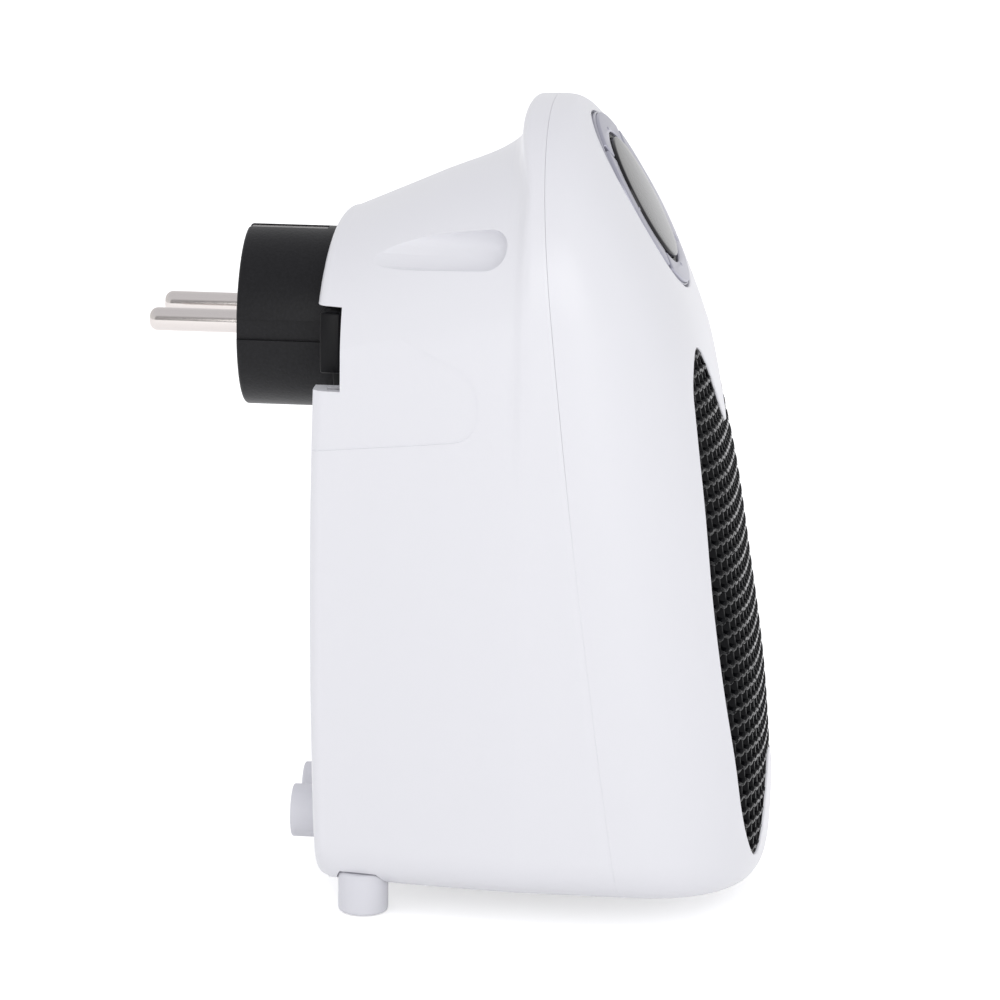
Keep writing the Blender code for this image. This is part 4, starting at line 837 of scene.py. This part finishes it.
def make_front_shell():
    adds, pilots = [], []
    for x, z in CASE_PLACES:
        seam = float(seam_reach(z))
        adds.append(drum(CASE_BOSS, seam + FIT / 2, FRONT_REACH, (x, z), 32, FORWARD))
        pilots.append(drum(CASE_BORE, seam - OVERRUN, seam + CASE_PILOT, (x, z), 24, FORWARD))
    for side in (-1, 1):
        near, far = sorted((side * EAR_IN, side * EAR_OUT))
        adds.append(at_frame(block((near, -EAR_HALF, EAR_LEVELS[0]), (far, EAR_HALF, EAR_LEVELS[1])), DIAL))
        pilots.append(drum(EAR_PILOT, *EAR_PILOT_LEVELS, (side * EAR_PILOT_SIDE, 0), 16, DIAL))
    bosses = carve("front_bosses", joined("front_adds", adds), [
        ("INTERSECT", front_form("front_trim", WALL / 2, -FIT / 2, ROUGH_COUNTS, ROUGH_STEPS)),
    ])
    steps = [
        ("DIFFERENCE", front_form("front_hollow", WALL, OVERRUN, ROUGH_COUNTS, ROUGH_STEPS)),
        ("UNION", bosses),
        ("DIFFERENCE", at_frame(prism(outlet_outline(LIP_CUT), 0, FRONT_REACH + OVERRUN), FORWARD)),
        ("DIFFERENCE", drum(SEAT_RADIUS, *SEAT_LEVELS, sides=128, axes=DIAL)),
        ("DIFFERENCE", joined("pilots", pilots)),
    ]
    mesh = carve("front_shell_skin", front_form("front_outer", 0, 0, COUNTS, FRONT_STEPS), steps)
    piece("front_shell_skin", mesh, SHELL, "housing", ["front_shell"], 28)


def make_outlet_lip():
    """The rounded edge of the opening, flush with the surface outside and turned in to the grille."""
    flat = outlet_outline(0)
    x, z = flat.T
    out = outward(flat)
    normal = surface_normal(x, z)
    flat_out = np.stack([out[:, 0], np.zeros(len(x)), out[:, 1]], 1)
    outs = flat_out - normal * (flat_out * normal).sum(1, keepdims=True)
    outs /= np.abs((outs * flat_out).sum(1, keepdims=True))
    path = np.stack([x, front_y(x, z), z], 1)
    profile = [
        (LIP_WIDTH, 0, 0), (LIP_WIDTH * 0.75, -0.02 * MM, 0), (0.34 * MM, -0.05 * MM, 0),
        (0.2 * MM, -0.02 * MM, 0), (0.08 * MM, 0.08 * MM, 0), (0.02 * MM, 0.22 * MM, 0), (0, LIP_DROP, 0),
        (0, LIP_DROP, LIP_DEPTH), (LIP_WIDTH, LIP_DROP, LIP_DEPTH),
    ]
    sweep("outlet_lip", path, outs, -normal, profile)


# Grille
GRILLE_SINK = 0.25 * MM
CELL_PITCH = 3.27 * MM
CELL_ROW = 3.06 * MM
CELL_ROWS = 18  # to each side of the middle one
CELL_COLUMNS = 12
RIB_WAVE = 0.26 * MM
RIB_NOSE = 0.34 * MM
NOSE_SHARES = (0, 0.72, 0.9, 1)
NOSE_TOP_SHARE = 0.68  # of the nose's width, level before it rounds off
NOSE_FALL = (0.6, 2.2)
UPRIGHT_SHARES = (0.72, 0, -0.72)
UPRIGHT_SINK = 0.36 * MM
RIB_DEPTH = 2.9 * MM
GRILLE_STEPS = 200
HOOP_EDGES = (-0.1 * MM, -0.42 * MM)
HOOP_TOPS = (-0.12 * MM, -0.3 * MM)


def cell_ring(inset):
    """A cell's outline at a distance from the middle of its ribs, as (x, z, height) rows."""
    across = np.arange(-3, 4) / 6
    width = CELL_PITCH / 2 - inset
    crest = CELL_ROW / 2 + RIB_WAVE * np.cos(2 * math.pi * across) - inset
    past = max(inset - RIB_NOSE * NOSE_TOP_SHARE, 0)
    drop = NOSE_FALL[0] * past + NOSE_FALL[1] * past**2 / RIB_NOSE
    top = [(2 * width * share, z, -drop) for share, z in zip(across, crest)]
    side = [(width, crest[0] * share, -drop - UPRIGHT_SINK) for share in UPRIGHT_SHARES]
    half = top + side
    return np.array(half + [(-x, -z, height) for x, z, height in half])


def make_lattice():
    """Wavy ribs with round noses, proud of the upright ribs between them, laid out flat and closed."""
    rings = [cell_ring(RIB_NOSE * share) for share in NOSE_SHARES]
    rings += [ring * (1, 1, 0) + (0, 0, -RIB_DEPTH) for ring in (rings[-1], rings[0])]
    count = len(rings[0])
    last = (len(rings) - 1) * count
    cell = np.concatenate(rings)
    cell_faces = quads(len(rings), count)
    edge = outlet_outline(0.8 * MM, 160)
    verts, faces, rims = [], [], {}
    for row in range(-CELL_ROWS, CELL_ROWS + 1):
        for column in range(-CELL_COLUMNS, CELL_COLUMNS + 1):
            middle = np.array([(column + (row % 2) / 2) * CELL_PITCH, OUTLET_MIDDLE + row * CELL_ROW, 0])
            if not within(edge, (rings[0] + middle)[:, :2]).any():
                continue
            start = len(verts)
            verts += list(cell + middle)
            faces += [tuple(start + corner for corner in face) for face in cell_faces]
            for i in range(count):
                j = (i + 1) % count
                ends = (verts[start + i] + verts[start + j])[:2] / MM
                rims.setdefault(tuple(np.round(ends, 2) + 0.0), []).append(
                    (start + j, start + i, start + last + i, start + last + j)
                )
    faces += [found[0] for found in rims.values() if len(found) == 1]
    return mesh_of("lattice", verts, faces)


def make_grille():
    """The fine honeycomb, cut by the opening's edge, on a frame that lies behind the ribs' noses."""
    outer, inner = (outlet_outline(edge, GRILLE_STEPS) for edge in HOOP_EDGES)
    foot = -RIB_DEPTH - 0.1 * MM
    levels = ((outer, HOOP_TOPS[0]), (inner, HOOP_TOPS[1]), (inner, foot), (outer, foot))
    verts = [(x, z, height) for ring, height in levels for x, z in ring]
    hoop = mesh_of("hoop", verts, quads(4, GRILLE_STEPS, closed=True))
    mesh = carve("grille", make_lattice(), [
        ("INTERSECT", prism(outlet_outline(-0.06 * MM, GRILLE_STEPS), -5 * MM, OVERRUN)), ("UNION", hoop),
    ])
    x, z, height = np.array([vert.co for vert in mesh.vertices]).T
    places = np.stack([x, front_y(x, z, GRILLE_SINK) - height, z], 1)
    mesh.vertices.foreach_set("co", places.ravel())
    mesh.flip_normals()
    piece("fine_grille", mesh, GRILLE, "housing", ["outlet_grille"], 50)


# Dial: radii, and levels over its plane
LIP_RADII = (19.45 * MM, 19.75 * MM)
LIP_LEVEL = -0.15 * MM
TRAY_RADIUS = 12 * MM
TRAY_LEVELS = (-4.1 * MM, -3 * MM)
# The black ring in the moat and the black bars in the key gaps are painted shade: black pieces put where the
# gaps are shaded.
MOAT_RADII = (13.75 * MM, 14.65 * MM)
MOAT_LEVELS = (-2.95 * MM, -0.1 * MM)
BAR_RADII = (14.66 * MM, 19.3 * MM)
BAR_HALF = 0.25 * MM
BAR_LEVELS = (-2.95 * MM, -1 * MM)
KEY_NAMES = ("top", "far", "bottom", "near")
KEY_RADII = (14.85 * MM, 19.35 * MM)
KEY_LEVELS = (-2.1 * MM, 0.5 * MM)
KEY_GAP = 1 * MM
KEY_EDGE = 0.34 * MM
NUB_PLACE = (15.7 * MM, 0.45 * MM)
LENS_RADIUS = 13.55 * MM
LENS_RIM = 0.85 * MM
LENS_BULGE = 0.3 * MM
LENS_FOOT = -2.6 * MM


def make_bezel():
    low, high = TRAY_LEVELS
    bezel = rounded([
        (LIP_RADII[1], low), (LIP_RADII[1], LIP_LEVEL), (LIP_RADII[0], LIP_LEVEL), (LIP_RADII[0], high),
        (TRAY_RADIUS, high), (TRAY_RADIUS, low),
    ], 0.1 * MM, 3)
    piece("dial_bezel", at_frame(spun(bezel, 160), DIAL), LIP, "housing", ["control_bezel"])


def make_painted_gap_shade():
    """Painted shade: a black ring in the gap between the keys and the lens, and black bars deep in the gaps
    between the keys.
    """
    inner, outer = MOAT_RADII
    low, high = MOAT_LEVELS
    dark = [spun(rounded([(outer, low), (outer, high), (inner, high), (inner, low)], 0.1 * MM, 2), 128)]
    for index in range(4):
        bar = block((BAR_RADII[0], -BAR_HALF, BAR_LEVELS[0]), (BAR_RADII[1], BAR_HALF, BAR_LEVELS[1]))
        dark.append(at_frame(bar, Matrix.Rotation(math.pi / 4 + index * QUARTER, 4, "Z")))
    piece("dial_gap_shade", at_frame(joined("dark", dark), DIAL), COLLAR, "housing")


def make_key(index, name):
    inner, outer = KEY_RADII
    start = math.pi / 4 - index * QUARTER + KEY_GAP / 2 / inner
    end = start + QUARTER - KEY_GAP / inner
    key = bevelled(prism(arc(outer, start, end, 40) + arc(inner, end, start, 40), *KEY_LEVELS), KEY_EDGE)
    side, foot = 0.42 * MM, -0.3 * MM
    nub = spun([(0, 0.25 * MM), (0.32 * MM, 0.2 * MM), (side, 0), (side, foot), (0, foot)], 20)
    middle = (start + end) / 2
    radius, level = NUB_PLACE
    nub.transform(Matrix.Translation((radius * math.cos(middle), radius * math.sin(middle), level)))
    mesh = at_frame(joined("key", [key, nub]), DIAL)
    piece(f"{name}_key", mesh, SILVER, f"{name}_button", [f"{name}_button"])


def make_lens():
    dome = LENS_RADIUS - 0.15 * MM
    rows = [(0, LENS_RIM + LENS_BULGE)]
    for t in np.linspace(0.1, QUARTER, 14):
        rows.append((dome * math.sin(t), LENS_RIM + LENS_BULGE * math.cos(t)))
    rows += [(LENS_RADIUS - 0.05 * MM, 0.78 * MM), (LENS_RADIUS, 0.65 * MM)]
    rows += [(LENS_RADIUS, LENS_FOOT), (0, LENS_FOOT)]
    piece("lens", at_frame(spun(rows, 128), DIAL), LENS, "housing", ["display_lens"], 50)


def dial_height(x, y):
    """Height of the front surface above the dial's plane, at (x, y) in that plane, by halving a range."""
    base = DIAL @ Vector((x, y, 0))
    axis = DIAL.to_3x3() @ Vector((0, 0, 1))
    low, high = -6 * MM, 6 * MM
    for _ in range(30):
        middle = (low + high) / 2
        point = base + axis * middle
        if point.y < float(front_y(point.x, point.z)):
            high = middle
        else:
            low = middle
    return (low + high) / 2


def make_dial_seat():
    """The shell's rounded edge round the dial."""
    steps, step = 144, 0.4 * MM
    turn_matrix = np.array(DIAL.to_3x3())
    path, outs, downs = [], [], []
    for i in range(steps):
        turn = 2 * math.pi * i / steps
        way = np.array([math.cos(turn), math.sin(turn)])
        x, y = way * SEAT_EDGE_RADIUS
        outer = dial_height(*(way * (SEAT_EDGE_RADIUS + step)))
        inner = dial_height(*(way * (SEAT_EDGE_RADIUS - step)))
        path.append(np.array(DIAL @ Vector((x, y, dial_height(x, y)))))
        outs.append(turn_matrix @ np.array([*way, (outer - inner) / (2 * step)]))
        downs.append(turn_matrix @ np.array([0, 0, -1.0]))
    wide, wall, down = 0.1 * MM, -0.62 * MM, 2 * MM
    profile = [
        (wide, 0.01 * MM, 0), (-0.1 * MM, -0.01 * MM, 0), (-0.3 * MM, 0, 0), (-0.45 * MM, 0.06 * MM, 0),
        (-0.56 * MM, 0.18 * MM, 0), (wall, 0.36 * MM, 0), (wall, down, 0), (wide, down, 0),
    ]
    sweep("dial_seat_edge", path, outs, downs, profile)


# Plug: levels out from the back of the shell
PLUG_FOOT = -9.4 * MM
PLUG_EDGE = 0.4 * MM
GROOVE_END = 20 * MM  # past the plug's skin
GUIDE_IN = 17.5 * MM
GUIDE_HALF = 2.15 * MM
GUIDE_LEVEL = 0.3 * MM
CLIP_SLOT_IN = 17.6 * MM
CLIP_SLOT_HALF = 1.9 * MM
CLIP_SLOT_LEVEL = 1.1 * MM
CLIP_RADII = (17.7 * MM, 18.2 * MM)
CLIP_HALF = 1.6 * MM
CLIP_LEVELS = (1.4 * MM, PLUG_REACH - 0.6 * MM)
PIN_SIDE = 9.5 * MM
PIN_RADIUS = 2.4 * MM
PIN_TIP = 36.6 * MM
PIN_ROUND = (1.5 * MM, 1.7 * MM)
PIN_FOOT = 8.8 * MM
PIN_WELL = (2.7 * MM, PLUG_REACH - 9.3 * MM)
RETAINER_PILOT = 1.3 * MM
RETAINER_PILOT_SIDE = 10.5 * MM
RETAINER_PILOT_LEVELS = (-12 * MM, -4.5 * MM)
COLLAR_LEVELS = (-6.9 * MM, -2.2 * MM)
LUG_RADIUS = 30.4 * MM
LUG_IN = 19.5 * MM
LUG_HALF = 6.2 * MM
LUG_LEVELS = (-5.2 * MM, -1.1 * MM)
LUG_EDGE = 0.45 * MM


def make_plug_drum():
    mouth = PLUG_REACH + OVERRUN
    cuts = []
    for side, name in ((-1, "upper"), (1, "lower")):
        x = sorted((side * GUIDE_IN, side * GROOVE_END))
        cuts.append(block((x[0], -GUIDE_HALF, GUIDE_LEVEL), (x[1], GUIDE_HALF, mouth)))
        y = sorted((side * CLIP_SLOT_IN, side * GROOVE_END))
        cuts.append(block((-CLIP_SLOT_HALF, y[0], CLIP_SLOT_LEVEL), (CLIP_SLOT_HALF, y[1], mouth)))
        cuts.append(drum(PIN_WELL[0], PIN_WELL[1], mouth, (side * PIN_SIDE, 0), 48))
        cuts.append(drum(RETAINER_PILOT, *RETAINER_PILOT_LEVELS, (side * RETAINER_PILOT_SIDE, 0), 16))
        y = sorted(side * radius for radius in CLIP_RADII)
        strip = block((-CLIP_HALF, y[0], CLIP_LEVELS[0]), (CLIP_HALF, y[1], CLIP_LEVELS[1]))
        piece(f"{name}_clip_skin", at_frame(strip, PLUG), CLIP, "plug", [f"{name}_earth_clip"])
    body = rounded([
        (0, PLUG_REACH), (PLUG_RADIUS - PLUG_EDGE, PLUG_REACH), (PLUG_RADIUS, PLUG_REACH - PLUG_EDGE),
        (PLUG_RADIUS, PLUG_FOOT), (0, PLUG_FOOT),
    ], 0.5 * MM, 3)
    mesh = carve("plug", spun(body, 160), [("DIFFERENCE", joined("plug_cuts", cuts))])
    piece("plug_drum", at_frame(mesh, PLUG), BLACK, "plug", ["plug_body"], 30)


def make_pin(side, name):
    across, along = PIN_ROUND
    rows = [(0, PIN_TIP), (PIN_RADIUS - across, PIN_TIP - 0.02 * MM)]
    for t in np.linspace(0.25, QUARTER, 8):
        rows.append((PIN_RADIUS - across * (1 - math.sin(t)), PIN_TIP - along * (1 - math.cos(t))))
    mesh = spun(rows + [(PIN_RADIUS, PIN_FOOT), (0, PIN_FOOT)], 64)
    mesh.transform(Matrix.Translation((side * PIN_SIDE, 0, 0)))
    piece(f"{name}_pin_skin", at_frame(mesh, PLUG), NICKEL, "plug", [f"{name}_pin"])


def make_collar():
    """The ring that the plug turns in, with its one lug towards -X."""
    low, high = COLLAR_LEVELS
    ring = [(COLLAR_RADIUS, low), (COLLAR_RADIUS, high), (PLUG_HOLE, high), (PLUG_HOLE, low)]
    half = math.asin(LUG_HALF / LUG_RADIUS)
    outline = arc(LUG_RADIUS, math.pi - half, math.pi + half, 24)
    outline += [(-LUG_IN, -LUG_HALF), (-LUG_IN, LUG_HALF)]
    lug = bevelled(prism(outline, *LUG_LEVELS), LUG_EDGE)
    mesh = carve("collar", spun(rounded(ring, 0.3 * MM, 3), 120), [("UNION", lug)])
    piece("collar_skin", at_frame(mesh, PLUG), COLLAR, "plug", ["swivel_collar"], 35)


# Feet and bumpers
FOOT_RADIUS = 5.1 * MM
FOOT_TOP = 8.5 * MM
FOOT_ROUND = 0.9 * MM
BUMPER_RADII = (3 * MM, 5.5 * MM)
BUMPER_LEVELS = (30.1 * MM, 34.05 * MM, 41.5 * MM)  # stem's end, pad's back and pad's face
BUMPER_ROUND = 0.5 * MM


def make_supports(side, name):
    rows = [(0, 0), (FOOT_RADIUS, 0), (FOOT_RADIUS, FOOT_TOP), (0, FOOT_TOP)]
    foot = spun(rounded(rows, FOOT_ROUND, 5), 80)
    foot.transform(Matrix.Translation((side * FOOT_SIDE, y_at(FOOT_REACH), 0)))
    piece(f"{name}_foot_skin", foot, RUBBER, "housing", [f"{name}_foot"])
    stem, pad = BUMPER_RADII
    end, back, face = BUMPER_LEVELS
    rows = [(0, face), (pad, face), (pad, back), (stem, back), (stem, end), (0, end)]
    place = Matrix.Translation((side * BUMPER_SIDE, 0, 0)) @ frame_at(0, BUMPER_HEIGHT, -QUARTER)
    bumper = at_frame(spun(rounded(rows, BUMPER_ROUND, 4), 80), place)
    piece(f"{name}_bumper_skin", bumper, RUBBER, "housing", [f"{name}_wall_bumper"])


make_rear_shell()
make_front_shell()
make_outlet_lip()
make_grille()
make_bezel()
make_painted_gap_shade()
for index, name in enumerate(KEY_NAMES):
    make_key(index, name)
make_lens()
make_dial_seat()
make_plug_drum()
for side, name in SIDES:
    make_pin(side, name)
make_collar()
for side, name in SIDES:
    make_supports(side, name)

CAD_LOOKS = {
    "steel": STEEL, "inner_grey": INNER, "board_green": BOARD, "aluminium": ALUMINIUM,
    "black_plastic": COLLAR, "nickel": NICKEL, "silver_ring": SILVER, "display_black": LENS,
    "white_shell": SHELL, "grille_black": GRILLE, "white_rubber": RUBBER,
}
for row in frame["record"]["subparts"]:
    obj = frame["nodes"][row["node"]]
    if not obj.hide_render:
        for slot in obj.material_slots:
            slot.material = CAD_LOOKS[row["material_slot"]]


# Floor, light and camera
FLOOR_DROP = 0.2 * MM
FLOOR_RADIUS = 6
FLOOR_GLOW = 0.5
WORLD_STRENGTH = 0.92
WORLD_LOW = (1.0, 1.0, 1.0, 1)
WORLD_HIGH = (0.86, 0.86, 0.89, 1)
DIM_WAY = (-0.985, 0.0, 0.174)  # towards the dim patch of the sky
DIM_COSINES = (0.80, 0.96)  # where it starts and where it is full
DIM_LEVEL = 0.3
LAMP_AIM = (0, 0, 80 * MM)
CAMERA_AZIMUTH = math.radians(-84.4)
CAMERA_RISE = math.radians(12.6)
CAMERA_ROLL = math.radians(0.8)
CAMERA_TARGET = (0, MIDDLE, 79 * MM)
CAMERA_DISTANCE = 1.031
CAMERA_LENS = 180


def seen_share(nodes, links):
    """1 for what the camera sees straight, in gloss or through glass, 0 for light on its way to a surface."""
    path = nodes.new("ShaderNodeLightPath")
    total = path.outputs["Is Camera Ray"]
    for name in ("Is Glossy Ray", "Is Transmission Ray"):
        step = nodes.new("ShaderNodeMath")
        step.operation = "MAXIMUM"
        links.new(total, step.inputs[0])
        links.new(path.outputs[name], step.inputs[1])
        total = step.outputs["Value"]
    return total


def make_stage():
    """A white floor that glows where it is seen, and not onto the heater."""
    shape = bmesh.new()
    bmesh.ops.create_circle(shape, cap_ends=True, segments=96, radius=FLOOR_RADIUS)
    mesh = mesh_from(shape, "floor")
    floor = new_object("floor", mesh)
    floor.location = (0, 0, -FLOOR_DROP)
    look = finish("floor_white", (0.93, 0.93, 0.93), 0.9)
    nodes, links = look.node_tree.nodes, look.node_tree.links
    glow = set_inputs(nodes.new("ShaderNodeEmission"), {"Color": (FLOOR_GLOW, FLOOR_GLOW, FLOOR_GLOW, 1)})
    both = nodes.new("ShaderNodeAddShader")
    pick = nodes.new("ShaderNodeMixShader")
    plain_white = nodes["Principled BSDF"].outputs["BSDF"]
    links.new(plain_white, both.inputs[0])
    links.new(glow.outputs["Emission"], both.inputs[1])
    links.new(seen_share(nodes, links), pick.inputs["Fac"])
    links.new(plain_white, pick.inputs[1])
    links.new(both.outputs["Shader"], pick.inputs[2])
    links.new(pick.outputs["Shader"], nodes["Material Output"].inputs["Surface"])
    mesh.materials.append(look)


def make_world():
    """Soft light from all round, a little less of it from above and much less from a patch by the camera."""
    world = bpy.data.worlds.new("studio")
    bpy.context.scene.world = world
    world.use_nodes = True
    nodes, links = world.node_tree.nodes, world.node_tree.links
    where = nodes.new("ShaderNodeTexCoord")
    split = nodes.new("ShaderNodeSeparateXYZ")
    ramp = nodes.new("ShaderNodeValToRGB")
    for element, position, colour in zip(ramp.color_ramp.elements, (0.0, 0.9), (WORLD_LOW, WORLD_HIGH)):
        element.position = position
        element.color = colour
    dot = nodes.new("ShaderNodeVectorMath")
    dot.operation = "DOT_PRODUCT"
    dot.inputs[1].default_value = DIM_WAY
    patch = set_inputs(nodes.new("ShaderNodeMapRange"), {
        "From Min": DIM_COSINES[0], "From Max": DIM_COSINES[1], "To Min": 1, "To Max": DIM_LEVEL,
    })
    dim = nodes.new("ShaderNodeVectorMath")
    dim.operation = "SCALE"
    links.new(where.outputs["Generated"], split.inputs["Vector"])
    links.new(split.outputs["Z"], ramp.inputs["Fac"])
    links.new(where.outputs["Generated"], dot.inputs[0])
    links.new(dot.outputs["Value"], patch.inputs["Value"])
    links.new(ramp.outputs["Color"], dim.inputs[0])
    links.new(patch.outputs["Result"], dim.inputs["Scale"])
    back = set_inputs(nodes["Background"], {"Strength": WORLD_STRENGTH})
    links.new(dim.outputs["Vector"], back.inputs["Color"])


def make_lamp(name, place, size, energy, colour=(1, 1, 1)):
    data = bpy.data.lights.new(name, "AREA")
    data.shape = "DISK"
    data.size = size
    data.energy = energy
    data.color = colour
    obj = new_object(name, data)
    obj.location = place
    obj.rotation_euler = (Vector(LAMP_AIM) - Vector(place)).to_track_quat("-Z", "Y").to_euler()


def make_camera():
    azimuth, rise, roll = CAMERA_AZIMUTH, CAMERA_RISE, CAMERA_ROLL
    back = Vector((math.sin(azimuth) * math.cos(rise), -math.cos(azimuth) * math.cos(rise), math.sin(rise)))
    right = (-back).cross(Vector((0, 0, 1))).normalized()
    up = right.cross(-back)
    x = right * math.cos(roll) + up * math.sin(roll)
    y = up * math.cos(roll) - right * math.sin(roll)
    data = bpy.data.cameras.new("camera")
    data.lens = CAMERA_LENS
    data.clip_start = 0.01
    data.clip_end = 50
    camera = new_object("camera", data)
    turn = Matrix((x, y, back)).transposed().to_4x4()
    camera.matrix_world = Matrix.Translation(Vector(CAMERA_TARGET) + back * CAMERA_DISTANCE) @ turn
    bpy.context.scene.camera = camera


make_stage()
make_world()
make_lamp("key", place=(-1.55, -0.2, 0.5), size=1.1, energy=7.8)
make_lamp("front_fill", place=(0.1, -1.6, 0.45), size=1.0, energy=0.5, colour=(0.95, 0.97, 1.0))
make_camera()
bpy.context.scene.view_settings.view_transform = "Standard"
